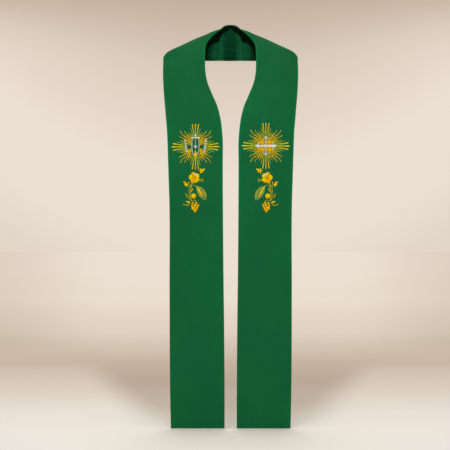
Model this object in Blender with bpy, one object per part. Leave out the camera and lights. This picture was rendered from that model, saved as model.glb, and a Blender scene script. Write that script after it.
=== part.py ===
"""Clerical stole in the form that it takes when worn, hollow, with nobody in it.

Two long bands of green cloth meet in a mitred seam at the centre back. Each stands round the neck, lies
over a shoulder and hangs down the front to its hem. Each is lined with satin, set inside its folded edges.

Metres, +Z up. The front faces -Y, so +X is the wearer's left. The origin is the middle of the neck opening,
level with the sides of the neck.
"""

import math
from typing import NamedTuple

import bmesh
import bpy
import numpy as np

MM = 0.001

# Cloth, in millimetres.
BAND_WALL = 1.2
LINING_WALL = 1.0
SEAM_GAP = 0.3
FOLDED_EDGE = 6.0  # how far the band's folded edge reaches in, and the lining stays back
FOLD_STEP = 0.2  # run of the step down from the folded edge to the single cloth

# The worn form, in millimetres.
HEM_LEVEL = -1111.0
CHEST_DEPTH = -118.0  # Y of the hanging fronts at the centre plane
CHEST_ROUNDING = 25.0  # how far they have curved back at ROUNDING_REACH from the centre plane
ROUNDING_REACH = 200.0
SHOULDER_ROLL_REACH = 18.0  # width of outer edge that turns down at the shoulder's end

# Two soft upright folds of the back, one each side of the centre-back seam.
BACK_FOLD_X = 30.0
BACK_FOLD_WIDTH = 11.0
BACK_FOLD_DEPTH = 4.5
BACK_FOLD_TOP = 85.0
BACK_FOLD_LEVEL = 12.0

# How far apart the lines of the wall lie along its outer edge, in millimetres.
BACK_SPACING = 6.0
SHOULDER_SPACING = 14.0
HANGING_SPACING = 80.0
BAND_COLUMNS = 12  # between the folded edges

# How finely the face is sampled where it is measured, and the step its slope is taken over, in millimetres.
ACROSS_SAMPLES = 65
SLOPE_STEP = 1.0

CLOTH_GREEN = (0.0080, 0.1250, 0.0395, 1.0)
LINING_GREEN = (0.0060, 0.0720, 0.0240, 1.0)


class WornLine(NamedTuple):
    """A line across the band where it is worn: its neck end, middle and outer end, in millimetres."""

    neck: tuple
    middle: tuple
    outer: tuple
    roll: float  # how far the outer edge turns down


class HangingLine(NamedTuple):
    """A level line across the hanging band, in millimetres."""

    level: float
    inner_x: float
    outer_x: float


WORN_LINES = (
    #        neck                  middle               outer             roll
    WornLine((0.0, 60, 120.5), (0.0, 88, 69), (0.0, 101, 12), 0),  # centre-back seam
    WornLine((18.9, 58, 117.5), (29, 86.5, 68.5), (41, 100, 12), 0),
    WornLine((32.8, 52, 104.4), (52, 76, 87.2), (80, 95, 12), 0),
    WornLine((55.5, 38, 83), (93, 50, 78.1), (129, 76, 12), 0),
    WornLine((70.4, 20, 62.6), (123, 27, 66.3), (171, 47, 13), 1),
    WornLine((75.5, 8, 51.6), (136, 14, 57.2), (196.2, 24, 18.2), 4),
    WornLine((77.2, -6, 36), (143, 0, 46.4), (205.2, 2, 22.2), 6.8),  # over the shoulder
    WornLine((77.2, -24, 9), (142, -22, 21), (206.5, -18, -6), 3),
    WornLine((76.4, -43, -31), (141, -46, -12), (206.3, -42, -42), 0),
    WornLine((69.6, -62, -69.5), (137, -69, -50), (204.4, -60, -78), 0),
    WornLine((55.0, -83, -107.7), (128, -88, -92), (201.7, -74, -113), 0),
    WornLine((39.6, -99, -145.2), (119, -101, -137), (198.2, -84, -148), 0),
    WornLine((30.4, -108, -182), (112, -108, -180), (195.3, -90, -182), 0),
    WornLine((25.7, -114, -218), (108, -110.5, -218), (192.0, -94, -218), 0),
)

HANGING_LINES = (
    HangingLine(-250, 23.5, 190.5),
    HangingLine(-310, 23.6, 188.6),
    HangingLine(-370, 23.5, 186.7),
    HangingLine(-430, 23.2, 184.8),
    HangingLine(-500, 22.8, 183.8),
    HangingLine(-650, 21.5, 184.2),
    HangingLine(-800, 19.7, 183.9),
    HangingLine(-930, 18.6, 183.4),
    HangingLine(-1040, 18.2, 181.9),
    HangingLine(HEM_LEVEL, 18.2, 180.2),
)


def chest_depth(x):
    """Y of the hanging fronts at a distance from the centre plane."""
    return CHEST_DEPTH + CHEST_ROUNDING * (x / ROUNDING_REACH) ** 2


def hanging_points(line):
    """The neck end, middle and outer end of a hanging line."""
    stops = (line.inner_x, (line.inner_x + line.outer_x) / 2, line.outer_x)
    return tuple((x, chest_depth(x), line.level) for x in stops)


class Band:
    """The outer face of one band as a smooth surface through its lines, worked out on the +X side."""

    def __init__(self):
        rows = [(*row.neck, *row.middle, *row.outer, row.roll) for row in WORN_LINES]
        for line in HANGING_LINES:
            neck, middle, outer = hanging_points(line)
            rows.append((*neck, *middle, *outer, 0.0))
        self.rows = np.array(rows, float)
        # Distances along the band are measured between its middle and its outer edge.
        middles, outers = np.diff(self.rows[:, 3:6], axis=0), np.diff(self.rows[:, 6:9], axis=0)
        steps = np.sqrt(((middles**2).sum(axis=1) + (outers**2).sum(axis=1)) / 2)
        self.stops = np.concatenate([[0.0], np.cumsum(steps)])
        self.slopes = self._slopes()

    def _slopes(self):
        """How fast each column changes at each row, from the rows on both sides."""
        gaps = np.diff(self.stops)[:, None]
        rates = np.diff(self.rows, axis=0) / gaps
        inner = (rates[:-1] * gaps[1:] + rates[1:] * gaps[:-1]) / (gaps[:-1] + gaps[1:])
        slopes = np.vstack([rates[:1], inner, rates[-1:]])
        # At the centre-back seam only X changes, so that the two bands meet squarely.
        slopes[0, [1, 2, 4, 5, 7, 8]] = 0.0
        return slopes

    def row_at(self, along):
        """Every column, a distance along the band from the centre-back seam."""
        k = int(np.clip(np.searchsorted(self.stops, along) - 1, 0, len(self.stops) - 2))
        gap = self.stops[k + 1] - self.stops[k]
        t = (along - self.stops[k]) / gap
        return (
            (1 + 2 * t) * (1 - t) ** 2 * self.rows[k]
            + t * (1 - t) ** 2 * gap * self.slopes[k]
            + t**2 * (3 - 2 * t) * self.rows[k + 1]
            - t**2 * (1 - t) * gap * self.slopes[k + 1]
        )

    def line(self, along):
        """Points across the band and their distances from its neck edge."""
        row = self.row_at(along)
        neck, middle, outer, roll = row[:3], row[3:6], row[6:9], row[9]
        pull = 2 * middle - (neck + outer) / 2
        v = np.linspace(0, 1, ACROSS_SAMPLES)[:, None]
        points = (1 - v) ** 2 * neck + 2 * v * (1 - v) * pull + v**2 * outer
        reach = np.concatenate([[0.0], np.cumsum(np.linalg.norm(np.diff(points, axis=0), axis=1))])
        near_edge = np.clip(1 - (reach[-1] - reach) / SHOULDER_ROLL_REACH, 0, 1)
        points[:, 2] -= roll * near_edge**2
        height = np.clip((BACK_FOLD_TOP - points[:, 2]) / (BACK_FOLD_TOP - BACK_FOLD_LEVEL), 0, 1)
        behind = np.clip(points[:, 1] / BACK_FOLD_X, 0, 1)
        ridge = np.exp(-(((points[:, 0] - BACK_FOLD_X) / BACK_FOLD_WIDTH) ** 2))
        points[:, 1] -= BACK_FOLD_DEPTH * ridge * behind * height * (2 - height)
        return points, reach

    def width(self, along):
        return self.line(along)[1][-1]

    def point(self, along, distance):
        """The surface at distances from the neck edge, in millimetres."""
        points, reach = self.line(along)
        return np.stack([np.interp(distance, reach, points[:, k]) for k in range(3)], axis=-1)

    def facing(self, along, distance):
        """Unit vectors out of the face, away from the wearer."""
        low, high = max(along - SLOPE_STEP, 0.0), min(along + SLOPE_STEP, self.stops[-1])
        ahead = self.point(high, distance) - self.point(low, distance)
        width = self.width(along)
        left = np.clip(distance - SLOPE_STEP, 0, width)
        right = np.clip(distance + SLOPE_STEP, 0, width)
        across = self.point(along, right) - self.point(along, left)
        normal = np.cross(ahead, across)
        return normal / np.linalg.norm(normal, axis=1, keepdims=True)


def mesh_stops(band):
    """Where the wall's lines lie along the band: close together at its bends, far apart where it hangs."""
    worn, found = len(WORN_LINES), []
    for k in range(len(band.stops) - 1):
        apart = band.stops[k + 1] - band.stops[k]
        if k < 2:
            spacing = BACK_SPACING
        elif k < worn:
            spacing = SHOULDER_SPACING
        else:
            spacing = HANGING_SPACING
        pieces = max(1, round(apart / spacing))
        found += list(band.stops[k] + apart * np.arange(pieces) / pieces)
    return found + [band.stops[-1]]


def ring(band, along, outside, inside):
    """A closed ring of points round the wall at one line: across its outer side and back on its inner side.

    Each side is a list of (distance from the neck edge, depth below the band's face).
    """
    profile = np.array(outside + inside[::-1])
    stops, depth = profile[:, 0], profile[:, 1:]
    return band.point(along, stops) - depth * band.facing(along, stops)


def columns(width, margin):
    """Distances across a band of this width, from margin to margin, on columns that the layers share."""
    stops = np.linspace(FOLDED_EDGE, width - FOLDED_EDGE, BAND_COLUMNS + 1)
    return [margin, *stops[1:-1], width - margin]


def flatten_end(points, axis, level):
    """Puts a whole ring on a plane, so that the wall ends squarely."""
    points[:, axis] = level
    return points


def band_rings(band):
    """Rings of the outer cloth: single cloth, with a folded edge twice as thick round three sides."""
    folded = BAND_WALL + SEAM_GAP + LINING_WALL
    hem_fold = band.stops[-1] - FOLDED_EDGE
    stops = [along for along in mesh_stops(band)[:-1] if along < hem_fold - HANGING_SPACING / 4]
    stops += [hem_fold - FOLD_STEP, hem_fold, band.stops[-1]]
    rings = []
    for along in stops:
        width = band.width(along)
        middle = BAND_WALL if along < hem_fold else folded
        outside = [(distance, 0.0) for distance in (0.0, *columns(width, FOLDED_EDGE), width)]
        inside = [(0.0, folded), (FOLDED_EDGE, folded)]
        inside += [(distance, middle) for distance in columns(width, FOLDED_EDGE + FOLD_STEP)]
        inside += [(width - FOLDED_EDGE, folded), (width, folded)]
        rings.append(ring(band, along, outside, inside))
    flatten_end(rings[0], 0, SEAM_GAP / 2)
    flatten_end(rings[-1], 2, HEM_LEVEL)
    return rings


def lining_rings(band):
    """Rings of the lining, set inside the folded edges and off the outer cloth by the seam's gap."""
    margin = FOLDED_EDGE + FOLD_STEP + SEAM_GAP
    end = band.stops[-1] - margin
    lines = [along for along in mesh_stops(band) if along < end - HANGING_SPACING / 4] + [end]
    depth = BAND_WALL + SEAM_GAP
    rings = []
    for along in lines:
        stops_across = columns(band.width(along), margin)
        outside = [(distance, depth) for distance in stops_across]
        inside = [(distance, depth + LINING_WALL) for distance in stops_across]
        rings.append(ring(band, along, outside, inside))
    flatten_end(rings[0], 0, SEAM_GAP / 2)
    flatten_end(rings[-1], 2, HEM_LEVEL + margin)
    return rings


def material(name, colour, roughness, sheen):
    """A Principled cloth material."""
    made = bpy.data.materials.new(name)
    made.use_nodes = True
    made.diffuse_color = colour
    shader = made.node_tree.nodes["Principled BSDF"]
    shader.inputs["Base Color"].default_value = colour
    shader.inputs["Roughness"].default_value = roughness
    shader.inputs["Sheen Weight"].default_value = sheen
    return made


def wall_object(name, rings, outside_count, side, finish, collection):
    """A closed wall lofted through rings whose first points are on its outer side. side is the sign of X.

    Both sides of the wall split along the same diagonal, so that layers keep their gap where they bend.
    """
    bm = bmesh.new()
    mirrored = np.array([side, 1.0, 1.0]) * MM
    loops = [[bm.verts.new(point) for point in points * mirrored] for points in rings]
    count = len(loops[0])
    for first, second in zip(loops, loops[1:]):
        for k in range(count):
            after = (k + 1) % count
            if k < outside_count:
                bm.faces.new((first[k], first[after], second[after]))
                bm.faces.new((first[k], second[after], second[k]))
            else:
                bm.faces.new((first[k], first[after], second[k]))
                bm.faces.new((first[after], second[after], second[k]))
    bm.faces.new(loops[0][::-1])
    bm.faces.new(loops[-1])
    bmesh.ops.triangulate(bm, faces=[face for face in bm.faces if len(face.verts) > 4])
    bmesh.ops.recalc_face_normals(bm, faces=bm.faces)
    mesh = bpy.data.meshes.new(name)
    bm.to_mesh(mesh)
    bm.free()
    mesh.shade_smooth()
    mesh.set_sharp_from_angle(angle=math.radians(40))
    mesh.materials.append(finish)
    made = bpy.data.objects.new(name, mesh)
    collection.objects.link(made)
    return made


def main():
    for existing in list(bpy.data.objects):
        bpy.data.objects.remove(existing, do_unlink=True)
    collection = bpy.data.collections.new("clerical_stole")
    bpy.context.scene.collection.children.link(collection)
    cloth = material("green_cloth", CLOTH_GREEN, 0.8, 0.3)
    satin = material("green_satin_lining", LINING_GREEN, 0.45, 0.1)
    band = Band()
    outer, inner = band_rings(band), lining_rings(band)
    for name, side in (("left", 1.0), ("right", -1.0)):
        wall_object(f"band_{name}", outer, BAND_COLUMNS + 3, side, cloth, collection)
        wall_object(f"lining_{name}", inner, BAND_COLUMNS + 1, side, satin, collection)


if __name__ == "__main__":
    main()
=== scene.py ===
"""Dresses a clerical stole: woven green cloth, satin lining, raised embroidery, sewing and a plain studio.

Lengths are millimetres until a mesh is made, and then metres, +Z up. The studio is in metres throughout. The
front faces -Y, and +X is the wearer's left. Each band is cut flat, has its edges rolled over, and is then
bent to the form that it is worn in.
"""

import logging
import math
from collections.abc import Callable, Iterator, Sequence
from dataclasses import dataclass, field
from enum import Enum
from functools import partial
from typing import Any, NamedTuple

import bmesh
import bpy
import numpy as np
from bmesh.types import BMesh, BMVert
from bpy.types import ColorRamp, Material, NodeTree
from mathutils import Matrix, Vector
from mathutils.bvhtree import BVHTree

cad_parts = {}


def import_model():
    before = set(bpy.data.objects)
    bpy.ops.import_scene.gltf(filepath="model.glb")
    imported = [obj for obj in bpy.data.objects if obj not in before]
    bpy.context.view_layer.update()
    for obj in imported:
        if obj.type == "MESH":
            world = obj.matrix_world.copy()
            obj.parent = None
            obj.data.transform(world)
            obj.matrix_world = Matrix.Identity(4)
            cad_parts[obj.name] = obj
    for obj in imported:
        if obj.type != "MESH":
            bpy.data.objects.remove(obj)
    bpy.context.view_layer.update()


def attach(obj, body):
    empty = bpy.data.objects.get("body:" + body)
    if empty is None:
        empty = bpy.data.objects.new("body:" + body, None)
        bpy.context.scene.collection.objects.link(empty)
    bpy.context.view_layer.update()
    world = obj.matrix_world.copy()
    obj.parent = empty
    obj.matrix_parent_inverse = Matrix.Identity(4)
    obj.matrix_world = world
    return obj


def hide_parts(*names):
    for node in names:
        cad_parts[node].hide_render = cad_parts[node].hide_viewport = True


MM = 0.001
BODY = "root"
LOG = logging.getLogger("clerical_stole")

# The sockets of a colour Mix node, whose names are not unique.
MIX_FACTOR, MIX_FIRST, MIX_SECOND, MIX_RESULT = 0, 6, 7, 2
# Settings that several nodes share.
TIMES = {"operation": "MULTIPLY"}
SMOOTH = {"interpolation_type": "SMOOTHSTEP"}
# A wave texture of scale 1 repeats over this distance.
WAVE_REPEAT = 2 * math.pi / 20

Pair = tuple[float, float]
Triple = tuple[float, float, float]
Path = Sequence[Pair] | np.ndarray
Piece = bpy.types.Object
Socket = bpy.types.NodeSocket
AddNode = Callable[..., Any]


class Side(Enum):
    """The wearer's sides. The value is the sign of X there."""

    LEFT = 1.0
    RIGHT = -1.0

    @property
    def word(self) -> str:
        """The side's name as pieces carry it."""
        return self.name.lower()


class Face(Enum):
    """Which way a sheet's good face looks. The value is the sign along the band's outward direction."""

    OUTWARD = 1.0
    TO_WEARER = -1.0


def reaches(points: np.ndarray) -> np.ndarray:
    """How far along a path each of its points lies."""
    return np.concatenate([[0.0], np.cumsum(np.linalg.norm(np.diff(points, axis=0), axis=1))])


def read_at(places: np.ndarray, stops: np.ndarray, rows: np.ndarray) -> np.ndarray:
    """Every column of some rows, read between the stops that the rows stand at."""
    return np.stack([np.interp(places, stops, column) for column in rows.T], axis=-1)


# The worn form. Its tables and sizes are those of the part's source.


class WornLine(NamedTuple):
    """A line across the band where it is worn: its neck end, middle and outer end, in millimetres."""

    neck: Triple
    middle: Triple
    outer: Triple
    roll: float = 0.0  # how far the outer edge turns down


class HangingLine(NamedTuple):
    """A level line across the hanging band, in millimetres."""

    level: float
    inner_x: float
    outer_x: float


WORN_LINES = (
    #        neck                  middle               outer             roll
    WornLine((0.0, 60, 120.5), (0.0, 88, 69), (0.0, 101, 12)),  # centre-back seam
    WornLine((18.9, 58, 117.5), (29, 86.5, 68.5), (41, 100, 12)),
    WornLine((32.8, 52, 104.4), (52, 76, 87.2), (80, 95, 12)),
    WornLine((55.5, 38, 83), (93, 50, 78.1), (129, 76, 12)),
    WornLine((70.4, 20, 62.6), (123, 27, 66.3), (171, 47, 13), 1),
    WornLine((75.5, 8, 51.6), (136, 14, 57.2), (196.2, 24, 18.2), 4),
    WornLine((77.2, -6, 36), (143, 0, 46.4), (205.2, 2, 22.2), 6.8),  # over the shoulder
    WornLine((77.2, -24, 9), (142, -22, 21), (206.5, -18, -6), 3),
    WornLine((76.4, -43, -31), (141, -46, -12), (206.3, -42, -42)),
    WornLine((69.6, -62, -69.5), (137, -69, -50), (204.4, -60, -78)),
    WornLine((55.0, -83, -107.7), (128, -88, -92), (201.7, -74, -113)),
    WornLine((39.6, -99, -145.2), (119, -101, -137), (198.2, -84, -148)),
    WornLine((30.4, -108, -182), (112, -108, -180), (195.3, -90, -182)),
    WornLine((25.7, -114, -218), (108, -110.5, -218), (192.0, -94, -218)),
)

HANGING_LINES = (
    HangingLine(-250, 23.5, 190.5),
    HangingLine(-310, 23.6, 188.6),
    HangingLine(-370, 23.5, 186.7),
    HangingLine(-430, 23.2, 184.8),
    HangingLine(-500, 22.8, 183.8),
    HangingLine(-650, 21.5, 184.2),
    HangingLine(-800, 19.7, 183.9),
    HangingLine(-930, 18.6, 183.4),
    HangingLine(-1040, 18.2, 181.9),
    HangingLine(-1111, 18.2, 180.2),
)


@dataclass
class BandSurface:
    """The outer face of one band, worked out on the +X side and kept as a fine table."""

    chest_depth: float = -118.0  # Y of the hanging fronts at the centre plane
    chest_rounding: float = 25.0  # how far they have curved back at rounding_reach from it
    rounding_reach: float = 200.0
    roll_reach: float = 18.0  # width of outer edge that turns down at the shoulder's end
    back_fold_x: float = 30.0
    back_fold_width: float = 11.0
    back_fold_depth: float = 4.5
    back_fold_levels: Pair = (85.0, 12.0)  # where the fold starts, and where it is deepest
    # The one thing that the part's source lacks: the hem is cut a little longer towards the outer edge.
    hem_drop: float = 3.4
    hem_drop_from: float = -800.0
    columns: int = 129  # samples across the band
    step: float = 1.0  # distance between the table's lines along the band

    SQUARE_TO_SEAM = [1, 2, 4, 5, 7, 8]  # the columns of Y and Z, which meet the centre-back seam squarely

    def __post_init__(self) -> None:
        """Works out the band's lines, and then the table of its points and outward directions."""
        rows = [(*line.neck, *line.middle, *line.outer, line.roll) for line in WORN_LINES]
        for line in HANGING_LINES:
            across = (line.inner_x, (line.inner_x + line.outer_x) / 2, line.outer_x)
            rows.append((*(value for x in across for value in (x, self.hanging_depth(x), line.level)), 0.0))
        self.rows = np.array(rows, float)
        middles, outers = np.diff(self.rows[:, 3:6], axis=0), np.diff(self.rows[:, 6:9], axis=0)
        steps = np.sqrt(((middles**2).sum(axis=1) + (outers**2).sum(axis=1)) / 2)
        self.stops = np.concatenate([[0.0], np.cumsum(steps)])
        gaps = np.diff(self.stops)[:, None]
        rates = np.diff(self.rows, axis=0) / gaps
        inner = (rates[:-1] * gaps[1:] + rates[1:] * gaps[:-1]) / (gaps[:-1] + gaps[1:])
        self.slopes = np.vstack([rates[:1], inner, rates[-1:]])
        self.slopes[0, self.SQUARE_TO_SEAM] = 0.0
        self.lines = np.linspace(0.0, self.length, math.ceil(self.length / self.step) + 1)
        sampled = [self._line(along) for along in self.lines]
        self.widths = np.array([width for _, width in sampled])
        self.points = np.array([points for points, _ in sampled])
        outward = np.cross(np.gradient(self.points, axis=0), np.gradient(self.points, axis=1))
        self.outward = outward / np.linalg.norm(outward, axis=2, keepdims=True)

    @property
    def length(self) -> float:
        """The band's length from the centre-back seam to the hem."""
        return float(self.stops[-1])

    def hanging_depth(self, x: float) -> float:
        """Y of the hanging fronts at a distance from the centre plane."""
        return self.chest_depth + self.chest_rounding * (x / self.rounding_reach) ** 2

    def _row_at(self, along: float) -> np.ndarray:
        """Every column of the tables, on a smooth curve through their rows.

        Args:
            along: The distance along the band.

        Returns:
            The row there.
        """
        k = int(np.clip(np.searchsorted(self.stops, along) - 1, 0, len(self.stops) - 2))
        gap = self.stops[k + 1] - self.stops[k]
        t = (along - self.stops[k]) / gap
        return (
            (1 + 2 * t) * (1 - t) ** 2 * self.rows[k]
            + t * (1 - t) ** 2 * gap * self.slopes[k]
            + t**2 * (3 - 2 * t) * self.rows[k + 1]
            - t**2 * (1 - t) * gap * self.slopes[k + 1]
        )

    def _line(self, along: float) -> tuple[np.ndarray, float]:
        """One line across the band.

        Args:
            along: Its distance along the band.

        Returns:
            Points evenly spaced across the band, and the band's width there.
        """
        row = self._row_at(along)
        neck, middle, outer, roll = row[:3], row[3:6], row[6:9], row[9]
        pull = 2 * middle - (neck + outer) / 2
        v = np.linspace(0, 1, self.columns)[:, None]
        points = (1 - v) ** 2 * neck + 2 * v * (1 - v) * pull + v**2 * outer
        reach = reaches(points)
        near_edge = np.clip(1 - (reach[-1] - reach) / self.roll_reach, 0, 1)
        points[:, 2] -= roll * near_edge**2
        top, deepest = self.back_fold_levels
        height = np.clip((top - points[:, 2]) / (top - deepest), 0, 1)
        behind = np.clip(points[:, 1] / self.back_fold_x, 0, 1)
        ridge = bell(points[:, 0], self.back_fold_x, self.back_fold_width)
        points[:, 1] -= self.back_fold_depth * ridge * behind * height * (2 - height)
        hem = HANGING_LINES[-1].level
        low = np.clip((points[:, 2] - self.hem_drop_from) / (hem - self.hem_drop_from), 0, 1)
        points[:, 2] -= self.hem_drop * low * (points[:, 0] / self.rounding_reach) ** 2
        return read_at(np.linspace(0, reach[-1], self.columns), reach, points), reach[-1]

    def width(self, along: np.ndarray | float) -> np.ndarray:
        """The band's width at distances along it."""
        return np.interp(along, self.lines, self.widths)

    def lay(self, flat: np.ndarray, side: Side) -> np.ndarray:
        """Bends flat points to the worn form.

        Args:
            flat: Rows of distance from the neck edge, distance along the band, and height out of its face.
            side: The side of the wearer that the band lies on.

        Returns:
            World points in millimetres.
        """
        short_of_end = 1.000001
        down = np.clip(flat[:, 1] / self.lines[1], 0, len(self.lines) - short_of_end)
        share = np.clip(flat[:, 0] / self.width(flat[:, 1]), 0, 1)
        over = np.clip(share * (self.columns - 1), 0, self.columns - short_of_end)
        j, i = down.astype(int), over.astype(int)
        fj, fi = (down - j)[:, None], (over - i)[:, None]
        point, outward = (
            (table[j, i] * (1 - fi) + table[j, i + 1] * fi) * (1 - fj)
            + (table[j + 1, i] * (1 - fi) + table[j + 1, i + 1] * fi) * fj
            for table in (self.points, self.outward)
        )
        laid = point + flat[:, 2:3] * outward
        laid[:, 0] *= side.value
        return laid


# Finishes


def linear(code: str) -> tuple[float, float, float, float]:
    """A linear colour from an sRGB hex code.

    Args:
        code: The colour as #RRGGBB.

    Returns:
        Red, green, blue and alpha as Blender's shaders take them.
    """
    parts = [int(code[k : k + 2], 16) / 255 for k in (1, 3, 5)]
    red, green, blue = (c / 12.92 if c <= 0.04045 else ((c + 0.055) / 1.055) ** 2.4 for c in parts)
    return red, green, blue, 1.0


def add_node(
    tree: NodeTree,
    kind: str,
    output: str | int | None = None,
    inputs: Sequence[Any] | dict[str | int, Any] = (),
    **settings: Any,
) -> Any:
    """Adds one node with its settings and links.

    Args:
        tree: The tree that it goes in.
        kind: Its type name, without the ShaderNode that every such name starts with.
        output: The output that is wanted.
        inputs: What its inputs hold, in order or by name: constants, or the output sockets that feed them.
        **settings: Properties of the node itself.

    Returns:
        The wanted output, or the node where none is named.
    """
    node = tree.nodes.new(f"ShaderNode{kind}")
    for name, value in settings.items():
        setattr(node, name, value)
    for name, value in inputs.items() if isinstance(inputs, dict) else enumerate(inputs):
        if isinstance(value, Socket):
            tree.links.new(value, node.inputs[name])
        else:
            node.inputs[name].default_value = value
    return node if output is None else node.outputs[output]


def fill_ramp(ramp: ColorRamp, stops: Sequence[tuple[float, str]]) -> None:
    """Spreads stops over a colour ramp.

    Args:
        ramp: The ramp.
        stops: Values in rising order, each with its hex colour. The first and last lie at the ramp's ends.
    """
    low, high = stops[0][0], stops[-1][0]
    while len(ramp.elements) < len(stops):
        ramp.elements.new(1.0)
    for element, (value, code) in zip(ramp.elements, stops):
        element.position, element.color = (value - low) / (high - low), linear(code)


def wave_scale(pitch_mm: float) -> float:
    """The scale at which a wave texture repeats at this pitch."""
    return WAVE_REPEAT / (pitch_mm * MM)


def noise_scale(grain_mm: float) -> float:
    """The scale at which a noise texture's blotches are about this wide."""
    return 1.0 / (grain_mm * MM)


def bare_material(name: str) -> tuple[Material, AddNode]:
    """Makes a material with an empty tree.

    Args:
        name: Its name.

    Returns:
        The material, and what adds a node to its tree.
    """
    material = bpy.data.materials.new(name)
    material.use_nodes = True
    material.node_tree.nodes.clear()
    return material, partial(add_node, material.node_tree)


@dataclass(frozen=True)
class Finish:
    """What all finishes share: a Principled shader whose colour and normal come from other nodes."""

    name: str

    def sockets(self, add: AddNode) -> dict[str, Any]:
        """What the shader's sockets hold."""
        raise NotImplementedError

    def make(self) -> Material:
        """Builds the material.

        Returns:
            The material.
        """
        material, add = bare_material(self.name)
        add("OutputMaterial", inputs={"Surface": add("BsdfPrincipled", "BSDF", self.sockets(add))})
        return material


@dataclass(frozen=True)
class WovenCloth(Finish):
    """Polyester gabardine, woven in a fine steep twill and piece-dyed.

    It is matt with a soft bloom and a little uneven in its dye, and its folded edges carry a painted
    highlight of purer, lighter green.
    """

    name: str = "green_polyester_gabardine"
    ground: str = "#0E6339"
    shadowed: str = "#0B5B35"
    # A painted highlight: the purer, lighter green along the folded edges, where they turn to the light.
    edge_highlight: str = "#00723E"
    bloom: str = "#1E9A60"
    yarn_mm: float = 1.3  # real yarns are about 0.4 mm apart, too fine to show, so they are drawn coarser
    weft_mm: float = 1.82  # coarser for the same reason
    slub_mm: Pair = (1.6, 40.0)  # a slub's width and length
    dye_mm: float = 140.0
    dye_share: float = 0.6  # how far the dye's unevenness goes towards the shadowed green
    slub_tones: Pair = (0.93, 1.05)
    yarn_tones: Pair = (0.95, 1.04)
    relief_mm: float = 0.10

    def sockets(self, add: AddNode) -> dict[str, Any]:
        """Draws the twill, the slubs, the uneven dye and the pressed edges.

        Args:
            add: What adds a node to the material.

        Returns:
            What the shader's sockets hold.
        """
        cut, place = add("UVMap", "UV", uv_map="cut"), add("TexCoord", "Object")
        # The first attribute carries painted shade and light, the second the painted highlight along the
        # folded edges.
        tone, edge = (add("Attribute", "Fac", attribute_name=name) for name in ("tone", "folded_edge"))
        ribs = {"Vector": cut, "Scale": wave_scale(self.yarn_mm), "Distortion": 0.4, "Detail": 1.0}
        twill = add("TexWave", "Fac", ribs, bands_direction="DIAGONAL")
        weft = add("TexWave", "Fac", {"Vector": cut, "Scale": wave_scale(self.weft_mm)}, bands_direction="Y")
        stretch = (*map(noise_scale, self.slub_mm), 1.0)
        drawn_out = add("Mapping", "Vector", {"Vector": cut, "Scale": stretch})
        slub = add("TexNoise", "Fac", {"Vector": drawn_out, "Scale": 1.0})
        dye = add("TexNoise", "Fac", {"Vector": place, "Scale": noise_scale(self.dye_mm), "Detail": 3.0})
        uneven = add("MapRange", "Result", (dye, 0.35, 0.65, 0.0, self.dye_share))
        colour = linear(self.ground)
        for factor, code in ((uneven, self.shadowed), (edge, self.edge_highlight)):
            mixed = {MIX_FACTOR: factor, MIX_FIRST: colour, MIX_SECOND: linear(code)}
            colour = add("Mix", MIX_RESULT, mixed, data_type="RGBA")
        streaks = add("MapRange", "Result", (slub, 0.3, 0.7, *self.slub_tones))
        yarns = add("MapRange", "Result", (twill, 0.0, 1.0, *self.yarn_tones))
        weave = add("Math", "Value", (streaks, yarns), **TIMES)
        amount = add("Math", "Value", (weave, tone), **TIMES)
        woven = add("VectorMath", "Vector", {0: colour, "Scale": amount}, operation="SCALE")
        relief = add("Math", "Value", (twill, weft), operation="ADD")
        raised = {"Height": relief, "Strength": 0.5, "Distance": self.relief_mm * MM}
        return {
            "Base Color": woven,
            "Normal": add("Bump", "Normal", raised),
            "Roughness": 0.82,
            "Specular IOR Level": 0.08,
            "Sheen Weight": 0.05,
            "Sheen Roughness": 0.45,
            "Sheen Tint": linear(self.bloom),
        }


@dataclass(frozen=True)
class SatinLining(Finish):
    """Acetate lining satin in a deeper green, with long floats that run down the band.

    It is smooth with a broad soft gloss, which breaks into long soft lights where the cloth is uneven.
    """

    name: str = "green_acetate_satin"
    ground: str = "#125E39"
    gloss: str = "#4FB080"
    float_mm: float = 1.1  # real floats are about 0.2 mm wide, too fine to show, so they are drawn coarser
    light_mm: Pair = (7.0, 34.0)  # the width and length of a soft light
    light_tones: Pair = (0.72, 1.25)
    relief_mm: float = 0.05

    def sockets(self, add: AddNode) -> dict[str, Any]:
        """Draws the floats and the soft lights.

        Args:
            add: What adds a node to the material.

        Returns:
            What the shader's sockets hold.
        """
        # The attribute holds painted light and shade inside the collar, multiplied into the satin's colour.
        cut, tone = add("UVMap", "UV", uv_map="cut"), add("Attribute", "Fac", attribute_name="tone")
        ribs = {"Vector": cut, "Scale": wave_scale(self.float_mm), "Distortion": 1.2, "Detail": 2.0}
        floats = add("TexWave", "Fac", ribs, bands_direction="X")
        stretch = (*map(noise_scale, self.light_mm), 1.0)
        drawn_out = add("Mapping", "Vector", {"Vector": cut, "Scale": stretch})
        uneven = add("TexNoise", "Fac", {"Vector": drawn_out, "Scale": 1.0, "Detail": 3.0})
        lights = add("MapRange", "Result", (uneven, 0.3, 0.7, *self.light_tones))
        amount = add("Math", "Value", (lights, tone), **TIMES)
        colour = add("VectorMath", "Vector", {0: linear(self.ground)[:3], "Scale": amount}, operation="SCALE")
        raised = {"Height": floats, "Strength": 0.4, "Distance": self.relief_mm * MM}
        return {
            "Base Color": colour,
            "Normal": add("Bump", "Normal", raised),
            "Roughness": 0.42,
            "Specular IOR Level": 0.2,
            "Specular Tint": linear(self.gloss),
        }


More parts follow.
